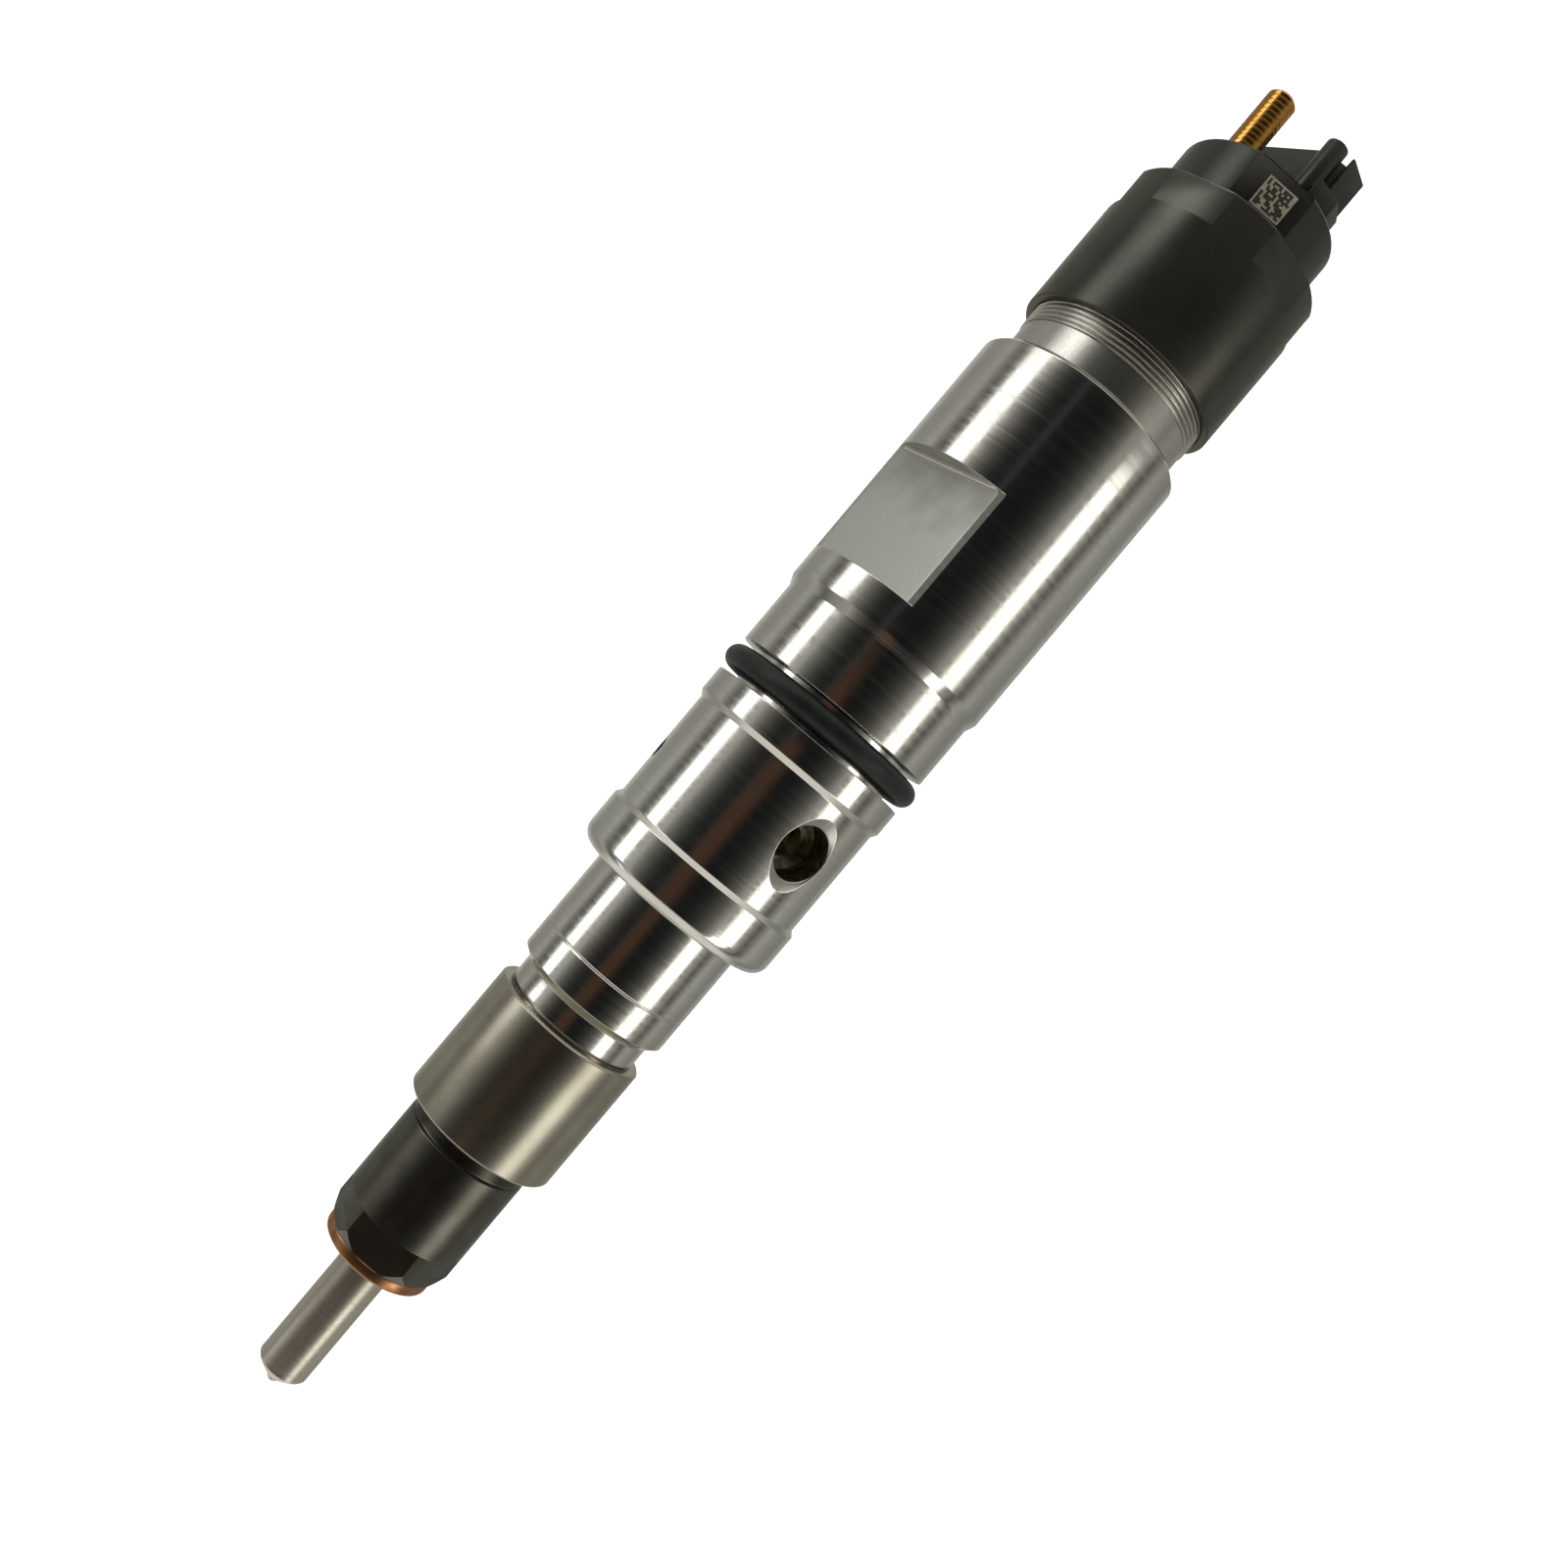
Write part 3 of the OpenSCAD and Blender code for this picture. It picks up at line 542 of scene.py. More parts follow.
def flat_patch(m, grain):
    """Satin clamp flats with painted shade: a cloud that darkens their upper ends, below the end wall."""
    top = FLAT_SPAN[1]
    depth = m.math("ABSOLUTE", m.vector("DOT_PRODUCT", m.coordinates, radial(FLAT_AZIMUTHS[0]))[1])
    on_flat = m.within(depth, FLAT_REACH - 0.03, FLAT_REACH + 0.06, 0.03)
    span = m.within(m.parts()[2], *FLAT_SPAN)
    # Painted shade: the flats darken towards their upper ends, where the end wall shades them.
    cloud = m.math("ADD", m.parts()[2], m.range(m.noise(0.22, 3.0), 0.3, 0.7, -2.5 * MM, 2.5 * MM))
    shade = m.range(cloud, (top - 8.0) * MM, (top - 1.0) * MM)
    satin = m.mix(shade, rgb(0.66, 0.66, 0.61), rgb(0.43, 0.43, 0.39))
    satin = m.mix(m.range(grain, 0.35, 0.7, 0.0, 0.12), satin, rgb(0.35, 0.35, 0.32))
    return m.math("MULTIPLY", on_flat, span), satin, 0.32


def body_patches(m):
    """The body's masks, colours and roughnesses: clamp flats with painted shade at their upper ends, neck,
    and the inlet's rim and dirty bore.
    """
    grain = m.noise(3.0, 4.0)
    yield flat_patch(m, grain)
    neck = m.mix(m.range(grain, 0.35, 0.7), rgb(0.62, 0.61, 0.56), rgb(0.52, 0.50, 0.45))
    yield m.above(NECK_Z), neck, 0.28
    out = radial(INLET_AZIMUTH)
    lowered = m.vector("SUBTRACT", m.coordinates, (0, 0, INLET_Z * MM))[0]
    along = m.vector("DOT_PRODUCT", lowered, out)[1]
    away = m.vector("LENGTH", m.vector("CROSS_PRODUCT", lowered, out)[0])[1]
    reach = m.vector("LENGTH", m.vector("MULTIPLY", m.coordinates, (1, 1, 0))[0])[1]
    below_land = m.within(reach, 0, INLET_LAND - 0.04, 0.03)
    yield m.math("MULTIPLY", m.within(away, -1.0, RIM_R + 0.3), below_land), rgb(0.50, 0.50, 0.46), 0.30
    in_bore = m.within(away, -1.0, INLET["dims"]["r_mm"] + 0.06)
    deep = m.within(along, CONE_REACH - 2, MOUTH_REACH - 0.15)
    grime = m.mix(m.range(m.noise(1.1, 5.0), 0.35, 0.65), rgb(0.08, 0.07, 0.045), rgb(0.34, 0.31, 0.20))
    yield m.math("MULTIPLY", in_bore, deep), grime, 0.5


def polished_steel():
    """The ground and polished body, with its patches."""
    return turned_steel("polished_steel", (0.73, 0.72, 0.67), (0.63, 0.61, 0.56), 0.135, 0.0015,
                        (0.52, 0.48, 0.42), spread=0.045, patches=body_patches, edge=0.12).material


def nozzle_steel():
    """The duller, slightly stained nozzle."""
    return turned_steel("nozzle_steel", (0.66, 0.62, 0.52), (0.58, 0.53, 0.43), 0.30, 0.001,
                        (0.42, 0.34, 0.24), spread=0.03, metallic=0.8).material


# The hidden steels: light colour, dark colour, roughness and ring depth
INNER_STEELS = {
    "inner_steel": ((0.66, 0.66, 0.67), (0.56, 0.56, 0.56), 0.18, 0.001),
    "spring_steel": ((0.50, 0.50, 0.52), (0.38, 0.37, 0.36), 0.25, 0.001),
    "dark_inner_steel": ((0.26, 0.26, 0.27), (0.17, 0.16, 0.16), 0.4, 0.003),
}


def magnet_iron():
    """The pressed iron of the magnet core."""
    m = Material("magnet_iron", metallic=0.8)
    grain = m.noise(6.0, 4.0)
    m.set("Base Color", m.mix(grain, rgb(0.20, 0.20, 0.21), rgb(0.32, 0.31, 0.30)))
    m.set("Roughness", m.range(grain, 0.3, 0.7, 0.45, 0.6))
    m.bump([(grain, 0.01)])
    return m.material


GROOVE_SHADE_HEIGHT = 1.9  # height of the painted shade in the groove under the nozzle nut's step, in mm


def two_tone_nut(step):
    """Black oxide below the step, satin brown-grey above it, both with turning rings and worn edges, and
    painted shade in the groove under the step.
    """
    m = Material("two_tone_nut", metallic=1.0)
    above = m.above(step + 0.05, 0.3)
    stain = m.noise(0.25, 5.0)
    rings = m.noise(5.0, 2.0, (0.02, 0.02, 1))
    stained = m.range(stain, 0.35, 0.7)
    lower = m.mix(stained, rgb(0.115, 0.111, 0.092), rgb(0.155, 0.149, 0.124))
    upper = m.mix(stained, rgb(0.46, 0.43, 0.35), rgb(0.39, 0.36, 0.285))
    colour = m.mix(above, lower, upper)
    # Painted shade: the groove under the step is darkened in colour, standing in for its dark reflection.
    groove = m.within(m.parts()[2], step - GROOVE_SHADE_HEIGHT, step, 0.2)
    colour = m.mix(groove, colour, rgb(0.078, 0.075, 0.062))
    worn = m.math("MULTIPLY", m.edge_wear(0.25), m.range(m.noise(1.5, 3.0), 0.35, 0.6))
    colour = m.mix(m.math("MULTIPLY", worn, 0.35), colour, rgb(0.5, 0.48, 0.42))
    m.set("Base Color", colour)
    grain = m.range(m.noise(8.0, 3.0), 0.3, 0.7, -0.02, 0.03)
    m.set("Roughness", m.math("ADD", m.range(above, 0.0, 1.0, 0.31, 0.28), grain))
    m.bump([(rings, 0.003), (m.noise(10.0, 3.0), 0.0015)])
    return m.material


def black_phosphate():
    """The solenoid nut's black finish, worn a little along its edges."""
    m = Material("black_phosphate", metallic=0.55, specular_ior_level=0.65,
                 specular_tint=rgb(1.0, 0.99, 0.92))
    stain = m.noise(0.18, 6.0)
    grain = m.noise(7.0, 4.0)
    colour = m.mix(m.range(stain, 0.35, 0.7), rgb(0.051, 0.0505, 0.042), rgb(0.073, 0.072, 0.059))
    worn = m.math("MULTIPLY", m.edge_wear(0.3), m.range(m.noise(1.2, 4.0), 0.4, 0.65))
    m.set("Base Color", m.mix(m.math("MULTIPLY", worn, 0.25), colour, rgb(0.3, 0.29, 0.26)))
    m.set("Roughness", m.range(grain, 0.3, 0.7, 0.25, 0.32))
    m.bump([(grain, 0.006), (m.noise(1.2, 3.0, (0.1, 0.1, 1)), 0.006)])
    return m.material


def cover_plastic():
    """The cover's black moulded plastic."""
    m = Material("cover_plastic", specular_ior_level=0.6, specular_tint=rgb(1.0, 0.99, 0.86))
    cloud = m.noise(0.3, 5.0)
    grain = m.noise(5.0, 4.0)
    black = m.mix(m.range(cloud, 0.35, 0.7), rgb(0.006, 0.006, 0.006), rgb(0.012, 0.012, 0.011))
    m.set("Base Color", black)
    m.set("Roughness", m.range(grain, 0.3, 0.7, 0.28, 0.38))
    m.bump([(grain, 0.010), (cloud, 0.04)])
    return m.material


def bobbin_plastic():
    """The bobbin's brown plastic."""
    m = Material("bobbin_plastic")
    cloud = m.noise(1.0, 4.0)
    m.set("Base Color", m.mix(cloud, rgb(0.09, 0.07, 0.05), rgb(0.13, 0.10, 0.08)))
    m.set("Roughness", m.range(cloud, 0.3, 0.7, 0.5, 0.6))
    m.bump([(cloud, 0.01)])
    return m.material


def insulator_plastic():
    """The pale plastic round the contact pins."""
    m = Material("insulator_plastic")
    cloud = m.noise(1.5, 4.0)
    m.set("Base Color", m.mix(cloud, rgb(0.78, 0.75, 0.68), rgb(0.86, 0.83, 0.77)))
    m.set("Roughness", m.range(cloud, 0.3, 0.7, 0.25, 0.35))
    m.bump([(cloud, 0.005)])
    return m.material


def ring_rubber():
    """The black rubber of the rings."""
    m = Material("ring_rubber", specular_ior_level=0.35)
    cloud = m.noise(0.5, 5.0)
    grain = m.noise(9.0, 4.0)
    black = m.mix(m.range(cloud, 0.35, 0.7), rgb(0.010, 0.013, 0.012), rgb(0.022, 0.025, 0.023))
    m.set("Base Color", black)
    m.set("Roughness", m.range(grain, 0.3, 0.7, 0.40, 0.52))
    m.bump([(grain, 0.006)])
    return m.material


def copper():
    """The washer's annealed copper."""
    m = Material("copper", metallic=1.0)
    stain = m.noise(0.6, 5.0)
    rings = m.noise(6.0, 2.0, (0.03, 0.03, 1))
    m.set("Base Color", m.mix(m.range(stain, 0.4, 0.7), rgb(0.50, 0.25, 0.125), rgb(0.33, 0.15, 0.07)))
    m.set("Roughness", m.range(stain, 0.3, 0.75, 0.24, 0.42))
    m.bump([(rings, 0.004), (stain, 0.01)])
    return m.material


def winding_copper():
    """The coil's enamelled wire, as fine turns."""
    m = Material("winding_copper", metallic=0.9)
    turns = m.noise(3.0, 2.0, (0.02, 0.02, 1))
    m.set("Base Color", m.mix(turns, rgb(0.50, 0.20, 0.10), rgb(0.68, 0.34, 0.18)))
    m.set("Roughness", m.range(turns, 0.3, 0.7, 0.25, 0.35))
    m.bump([(turns, 0.05)])
    return m.material


def terminal_brass():
    """The studs' golden brass."""
    m = Material("terminal_brass", metallic=1.0)
    stain = m.noise(0.8, 5.0)
    m.set("Base Color", m.mix(m.range(stain, 0.4, 0.7), rgb(0.62, 0.31, 0.07), rgb(0.46, 0.215, 0.04)))
    m.set("Roughness", m.range(stain, 0.3, 0.75, 0.20, 0.30))
    m.bump([(m.noise(6.0, 3.0), 0.004)])
    return m.material


def label_foil():
    """The label's pale foil."""
    m = Material("label_foil", metallic=0.2)
    stain = m.noise(2.0, 4.0)
    m.set("Base Color", m.mix(m.range(stain, 0.4, 0.7), rgb(0.62, 0.59, 0.47), rgb(0.50, 0.45, 0.33)))
    m.set("Roughness", m.range(stain, 0.3, 0.7, 0.4, 0.5))
    m.bump([(stain, 0.004)])
    return m.material


def label_ink():
    """The label's dark print."""
    m = Material("label_ink")
    stain = m.noise(3.0, 3.0)
    m.set("Base Color", m.mix(m.range(stain, 0.4, 0.7), rgb(0.045, 0.034, 0.022), rgb(0.085, 0.064, 0.042)))
    m.set("Roughness", m.range(stain, 0.3, 0.7, 0.5, 0.6))
    m.bump([(stain, 0.002)])
    return m.material


# ---------------------------------------------------------------- pieces

# Cutters, in mm and degrees
DEEP = 20.0  # how far a cutter runs out past the surface
FILLET_STEPS = 12
RAIL_REACH, RAIL_R, RAIL_TOP_Z = 5.2, 0.9, 118.0
SEAT_REACH = 9.5
# The bore's inner step: (share of the bore's radius, distance past SEAT_REACH)
SEAT = [(0.62, -0.5), (0.76, -0.45), (1, 0.3)]
# The bore's outer end: (radius over the bore's, distance past MOUTH_REACH)
MOUTH = [(0, -0.3), (0.03, -0.15), (0.12, -0.02), (0.35, 0.1)]
DOWEL_REACH, DOWEL_R, DOWEL_DEPTH, DOWEL_SPREAD = 5.0, 0.77, 2.51, 120
BODY_EDGE, BODY_EDGE_STEPS = 0.14, 6
CHAMFER_REACH, CHAMFER_TURN = 13.93, 22  # the narrow flats beside each clamp flat


def flat_cutter(reach, low, high, azimuth, width=40.0):
    """A block that leaves one flat at a distance from the axis."""
    block = prism("cutter", [(-width / 2, -reach - DEEP), (width / 2, -reach - DEEP),
                             (width / 2, -reach), (-width / 2, -reach)], low, high)
    return place(block, facing(azimuth))


def cut_hexagon(nut, reach, low, high, azimuth=0):
    """Cuts six flats into a nut between two heights, the first one at an azimuth."""
    for i in range(6):
        combine(nut, flat_cutter(reach, low, high, azimuth + 60 * i), "DIFFERENCE")


def radial_solid(outline, azimuth, z, around=96):
    """A cutter turned round a line across the axis: its outline is (radius, distance from the axis)."""
    return place(lathe("cutter", outline, around), across(azimuth, z))


def clamp_cutter(azimuth):
    """The clamp flat with its filleted upper end, drawn out across the body."""
    low, top = FLAT_SPAN
    knee, outer = top - FLAT_FILLET, FLAT_REACH + DEEP
    outline = [(outer, low), (FLAT_REACH, low), (FLAT_REACH, knee)]
    for k in range(1, FILLET_STEPS + 1):
        a = math.radians(90 * k / FILLET_STEPS)
        outline.append((FLAT_REACH + FLAT_FILLET * (1 - math.cos(a)), knee + FLAT_FILLET * math.sin(a)))
    outline.append((outer, top))
    block = prism("cutter", outline, -DEEP, DEEP)
    lay = Matrix(((0, 0, -1, 0), (-1, 0, 0, 0), (0, 1, 0, 0), (0, 0, 0, 1)))
    return place(block, facing(azimuth) @ lay)


def dowel_cutter(azimuth, foot):
    """A dowel hole across the joint between body and nozzle."""
    r, z0, z1 = DOWEL_R, foot - DOWEL_DEPTH, foot + DOWEL_DEPTH
    hole = lathe("cutter", [(0, z0), (r, z0), (r, z1), (0, z1)], 32)
    return place(hole, facing(azimuth) @ Matrix.Translation((0, -DOWEL_REACH, 0)))


def port_cutters(outline):
    """Fuel inlet with its stepped cone, the drilling behind it, the leak-off hole and the dowel holes."""
    r = INLET["dims"]["r_mm"]
    away = max(q for q, h in outline) + 2
    slope = (RIM_R - r) / (INLET_LAND - MOUTH_REACH)
    yield radial_solid([
        (0, RAIL_REACH), (RAIL_R, RAIL_REACH), (RAIL_R, CONE_REACH),
        *((share * r, SEAT_REACH + past) for share, past in SEAT),
        *((r + wider, MOUTH_REACH + past) for wider, past in MOUTH),
        (RIM_R, INLET_LAND), (RIM_R + slope * (away - INLET_LAND), away), (0, away),
    ], INLET_AZIMUTH, INLET_Z)
    leak_r, leak_z = MOUNTS["leak_off"]["dims"]["r_mm"], height_of("leak_off")
    yield radial_solid([(0, 0), (leak_r, 0), (leak_r, away), (0, away)], LEAK_AZIMUTH, leak_z)
    foot = min(h for q, h in outline)
    drill = lathe("cutter", [(0, foot - 1), (RAIL_R, foot - 1), (RAIL_R, RAIL_TOP_Z), (0, RAIL_TOP_Z)], 48)
    yield place(drill, facing(INLET_AZIMUTH) @ Matrix.Translation((0, -RAIL_REACH, 0)))
    for side in (-DOWEL_SPREAD, DOWEL_SPREAD):
        yield dowel_cutter(INLET_AZIMUTH + side, foot)


def injector_body():
    """The turned body with its clamp flats, ports and drillings."""
    outline = section("injector_body", FREE_AZIMUTH)
    body = lathe("injector_body_turned", soften(outline, BODY_EDGE, BODY_EDGE_STEPS))
    for azimuth in FLAT_AZIMUTHS:
        combine(body, clamp_cutter(azimuth), "DIFFERENCE")
        for side in (-CHAMFER_TURN, CHAMFER_TURN):
            combine(body, flat_cutter(CHAMFER_REACH, *FLAT_SPAN, azimuth + side), "DIFFERENCE")
    for cutter in port_cutters(outline):
        combine(body, cutter, "DIFFERENCE")
    return finish_piece(body, "injector_body", sharp=18)


SPRAY_STEP, SPRAY_R, SPRAY_ANGLE, NOSE_R = 45, 0.1, 73, 0.95
SPRAY_START, SPRAY_END, SPRAY_DROP = 0.2, 3.0, 0.1  # along a hole, and its start below the nose's centre


def nozzle_body():
    """The ground nozzle with its dowel holes and a ring of spray holes."""
    outline = section("nozzle_body", SPRAY_STEP / 2)
    nozzle = lathe("nozzle_body_ground", soften(outline, 0.08))
    nose_z = min(z for r, z in outline) + NOSE_R
    foot = max(z for r, z in outline)
    for side in (-DOWEL_SPREAD, DOWEL_SPREAD):
        combine(nozzle, dowel_cutter(INLET_AZIMUTH + side, foot), "DIFFERENCE")
    for i in range(round(360 / SPRAY_STEP)):
        hole = lathe("cutter", [
            (0, SPRAY_START), (SPRAY_R, SPRAY_START), (SPRAY_R, SPRAY_END), (0, SPRAY_END)], 24)
        tilt = Matrix.Rotation(math.radians(180 - SPRAY_ANGLE), 4, "X")
        place(hole, facing(i * SPRAY_STEP) @ Matrix.Translation((0, 0, nose_z - SPRAY_DROP)) @ tilt)
        combine(nozzle, hole, "DIFFERENCE")
    return finish_piece(nozzle, "nozzle_body")


def nozzle_retaining_nut():
    """The long nut with its hexagon at the foot."""
    corner = section("nozzle_retaining_nut", 30)
    flat = section("nozzle_retaining_nut", 0)
    reach = max(r for r, z in flat if z < 5)
    hex_top = max(z for r, z in flat if abs(r - reach) < CLOSE)
    low = min(z for r, z in flat)
    nut = lathe("nozzle_retaining_nut_turned", soften(corner, 0.25))
    cut_hexagon(nut, reach, low - 1, hex_top)
    return finish_piece(nut, "nozzle_retaining_nut")


def sealing_washer():
    """The pressed copper washer."""
    outline = soften(section("sealing_washer", 0), 0.35)
    return finish_piece(lathe("sealing_washer_pressed", outline), "sealing_washer")


def body_o_ring():
    """The round-section ring in the body's groove."""
    low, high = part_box("body_o_ring")
    r = (high.z - low.z) / 2 / MM
    mid_r, mid_z = high.x / MM - r, (high.z + low.z) / 2 / MM
    steps = 48
    outline = [(mid_r + r * math.cos(math.tau * k / steps), mid_z + r * math.sin(math.tau * k / steps))
               for k in range(steps)]
    return finish_piece(lathe("body_o_ring_moulded", outline), "body_o_ring")


NUT_FLAT_AZIMUTH = 32


def solenoid_nut():
    """The solenoid nut with its hexagon at the top."""
    corner = section("solenoid_nut", NUT_FLAT_AZIMUTH - 30)
    flat = section("solenoid_nut", NUT_FLAT_AZIMUTH)
    top = max(z for r, z in flat)
    reach = max(r for r, z in flat if z > top - 0.1)
    flats_z = min(z for r, z in flat if abs(r - reach) < CLOSE)
    nut = lathe("solenoid_nut_turned", soften(corner, 0.3))
    cut_hexagon(nut, reach, flats_z, top + 1, NUT_FLAT_AZIMUTH)
    return finish_piece(nut, "solenoid_nut")


def thread(name, inner, root, crest, pitch, low, high, around, tip=0.0, rows_per_turn=14):
    """A threaded tube or, with inner = 0, a threaded rod; its upper end is chamfered by tip."""
    rows = round((high - low) / pitch * rows_per_turn)
    bm = bmesh.new()

    def ring(radius_at, z):
        """A closed row of points whose radius depends on the angle."""
        angles = [math.tau * k / around for k in range(around)]
        return [bm.verts.new((radius_at(a) * math.cos(a), radius_at(a) * math.sin(a), z)) for a in angles]

    def ridge(a, z):
        """The thread's radius at an angle and a height."""
        phase = (z / pitch - a / math.tau) % 1.0
        r = root + (crest - root) * max(0.0, min(1.0, 1.4 - 3.0 * abs(phase - 0.5)))
        return min(r, crest - max(0.0, tip - (high - z)))

    rings = []
    for j in range(rows + 1):
        z = low + (high - low) * j / rows
        rings.append(ring(lambda a: ridge(a, z), z))
    if inner:
        rings += [ring(lambda a: inner, high), ring(lambda a: inner, low)]
        pairs = list(zip(rings, rings[1:] + rings[:1]))
    else:
        pairs = list(zip(rings, rings[1:]))
        bm.faces.new(rings[0])
        bm.faces.new(rings[-1])
    for a, b in pairs:
        for k in range(around):
            n = (k + 1) % around
            bm.faces.new([a[k], a[n], b[n], b[k]])
    return new_mesh(name, bm)


NECK_PITCH = 0.68


def neck_thread():
    """The fine thread that shows between the body's smooth neck and the solenoid nut."""
    nut_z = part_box("solenoid_nut")[0].z / MM
    body = section("injector_body", FREE_AZIMUTH)
    near = [(r, z) for r, z in body if nut_z - 3.5 < z < nut_z + 0.2 and r > 12]
    root = min(r for r, z in near)
    low = min(z for r, z in near if r < root + 0.01)
    crest = max(r for r, z in near if z > nut_z - 0.1)
    ring = thread("neck_thread", root - 0.2, root - 0.02, crest, NECK_PITCH, low, nut_z + 0.5, 192)
    return finish_piece(ring, "injector_body", sharp=50)


STUD_PITCH, STUD_THREAD_DEPTH = 0.7, 0.018
DECK_Z = max(z for r, z in section("terminal_cover", COVER_FREE_AZIMUTH) if r > 5)


def terminal_studs():
    """Both brass studs: moulded-in collar, plain root and a cut thread above the deck."""
    pattern = MOUNTS["terminal_studs"]
    r, reach = pattern["dims"]["stud_r_mm"], pattern["dims"]["pcd_mm"] / 2
    points = cad_points("terminal_studs")
    low, top = float(points[:, 2].min()), float(points[:, 2].max())
    first = points[points[:, 1] < 0]
    x, y = (first[:, :2].min(0) + first[:, :2].max(0)) / 2
    azimuth = math.degrees(math.atan2(x, -y))
    out = np.hypot(first[:, 0] - x, first[:, 1] - y)
    collar_r = float(out.max())
    collar_top = float(first[out > collar_r - 0.05][:, 2].max())
    thread_z = float(first[(out > r - CLOSE) & (out < r + CLOSE)][:, 2].min())
    root = r - STUD_THREAD_DEPTH
    bm = bmesh.new()
    for half_turn in (0, 180):
        shaft = soften([(0, low), (collar_r, low), (collar_r, collar_top), (root, collar_top),
                        (root, thread_z + 0.2), (0, thread_z + 0.2)], 0.15)
        parts = [lathe("part", shaft, 64), thread("part", 0, root, r, STUD_PITCH, thread_z, top, 64, 0.55)]
        for part in parts:
            place(part, facing(azimuth + half_turn) @ Matrix.Translation((0, -reach, 0)))
            bm.from_mesh(part.data)
            bpy.data.objects.remove(part)
    return finish_piece(new_mesh("terminal_studs_threaded", bm), "terminal_studs", sharp=50)


PAD_REACH, PAD_AZIMUTH = 10.5, 3
FENCE_SUNK = 1.0  # how deep the fence runs into the deck, so that the two join
WEB_X, WEB_Y, WEB_LOWER = (2.9, 6.0), (-3.9, -2.9), 0.3  # closes the gap between pillar and guard


def terminal_cover():
    """The moulded cover: flanged drum, flat label pad and the fence on its deck."""
    drum = [(r, z) for r, z in section("terminal_cover", COVER_FREE_AZIMUTH) if r > 1.5 and z < DECK_Z + 0.01]
    foot = drum.index(min(drum, key=lambda p: (round(p[1], 2), p[0])))
    drum = drum[foot:] + drum[:foot]
    if drum[1][1] > drum[-1][1]:
        drum = [drum[0]] + drum[:0:-1]
    drum = [(0.0, drum[0][1]), *drum, (0.0, drum[-1][1])]
    cover = lathe("terminal_cover_moulded", soften(drum, 0.4))
    tops = sorted({round(float(z), 2) for z in cad_points("terminal_cover")[:, 2] if z > DECK_Z + 1})
    for low, top in zip([DECK_Z, *tops], tops):
        for outline in plan("terminal_cover", (low + top) / 2):
            fence = prism("fence", soften(outline, 0.3), DECK_Z - FENCE_SUNK, top)
            combine(cover, roof_rounded(fence, 0.2), "UNION")
    (x0, x1), (y0, y1) = WEB_X, WEB_Y
    web = prism("web", [(x0, y0), (x1, y0), (x1, y1), (x0, y1)], DECK_Z - FENCE_SUNK, tops[-1] - WEB_LOWER)
    combine(cover, roof_rounded(web, 0.2), "UNION")
    nut_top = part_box("solenoid_nut")[1].z / MM
    combine(cover, flat_cutter(PAD_REACH, nut_top, tops[-1] + 1, PAD_AZIMUTH), "DIFFERENCE")
    return finish_piece(cover, "terminal_cover")


CELLS, CELL_SHARE, CELL_SEED = 12, 0.56, 4
LABEL_W, LABEL_MARGIN = 4.35, 0.25
FOIL_THICK, INK_PROUD, INK_SUNK = 0.08, 0.02, 0.02


def bmesh_box(bm, xs, ys, zs):
    """Adds a closed box between two corners."""
    v = [bm.verts.new((x, y, z)) for x in xs for y in ys for z in zs]
    for face in ((0, 1, 3, 2), (4, 6, 7, 5), (0, 4, 5, 1), (2, 3, 7, 6), (0, 2, 6, 4), (1, 5, 7, 3)):
        bm.faces.new([v[i] for i in face])


def code_label():
    """A pale foil and a block of dark cells in a seeded random pattern that encodes nothing."""
    low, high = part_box("code_label")
    z0, tall = low.z / MM, (high.z - low.z) / MM
    sideways = (low + high).dot(facing(PAD_AZIMUTH) @ Vector((1, 0, 0))) / 2 / MM
    back, face = -PAD_REACH, -PAD_REACH - FOIL_THICK
    cell_span = -PAD_REACH - (FOIL_THICK + INK_PROUD), face + INK_SUNK
    foil, ink = bmesh.new(), bmesh.new()
    bmesh_box(foil, (-LABEL_W / 2, LABEL_W / 2), (face, back), (z0, z0 + tall))
    dice = random.Random(CELL_SEED)
    wide, high = (LABEL_W - 2 * LABEL_MARGIN) / CELLS, (tall - 2 * LABEL_MARGIN) / CELLS
    for i in range(CELLS):
        for j in range(CELLS):
            if dice.random() < CELL_SHARE:
                x, z = -LABEL_W / 2 + LABEL_MARGIN + i * wide, z0 + LABEL_MARGIN + j * high
                bmesh_box(ink, (x, x + wide), cell_span, (z, z + high))
    for bm, name, finish in ((foil, "code_label_foil", None), (ink, "code_label_cells", label_ink())):
        piece = place(new_mesh(name, bm), facing(PAD_AZIMUTH) @ Matrix.Translation((sideways, 0, 0)))
        finish_piece(piece, "code_label", finish)


def coil_spring(node):
    """A copy of a spring's coils from its CAD node, which it hides."""
    coils = frame["nodes"][node].data.copy()
    coils.transform(frame["nodes"][node].matrix_world)
    spring = bpy.data.objects.new(node + "_coils", coils)
    bpy.context.scene.collection.objects.link(spring)
    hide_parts(node)
    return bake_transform(spring)


# ---------------------------------------------------------------- the object

nut_step = min(z for r, z in section("nozzle_retaining_nut", 30) if r > 10)
FINISHES = {
    **{name: turned_steel(name, *values).material for name, values in INNER_STEELS.items()},
    "polished_steel": polished_steel(),
    "nozzle_steel": nozzle_steel(),
    "phosphated_nut": two_tone_nut(nut_step),
    "copper": copper(),
    "winding_copper": winding_copper(),
    "ring_rubber": ring_rubber(),
    "magnet_iron": magnet_iron(),
    "bobbin_plastic": bobbin_plastic(),
    "insulator_plastic": insulator_plastic(),
    "black_phosphate": black_phosphate(),
    "cover_plastic": cover_plastic(),
    "terminal_brass": terminal_brass(),
    "label_foil": label_foil(),
}

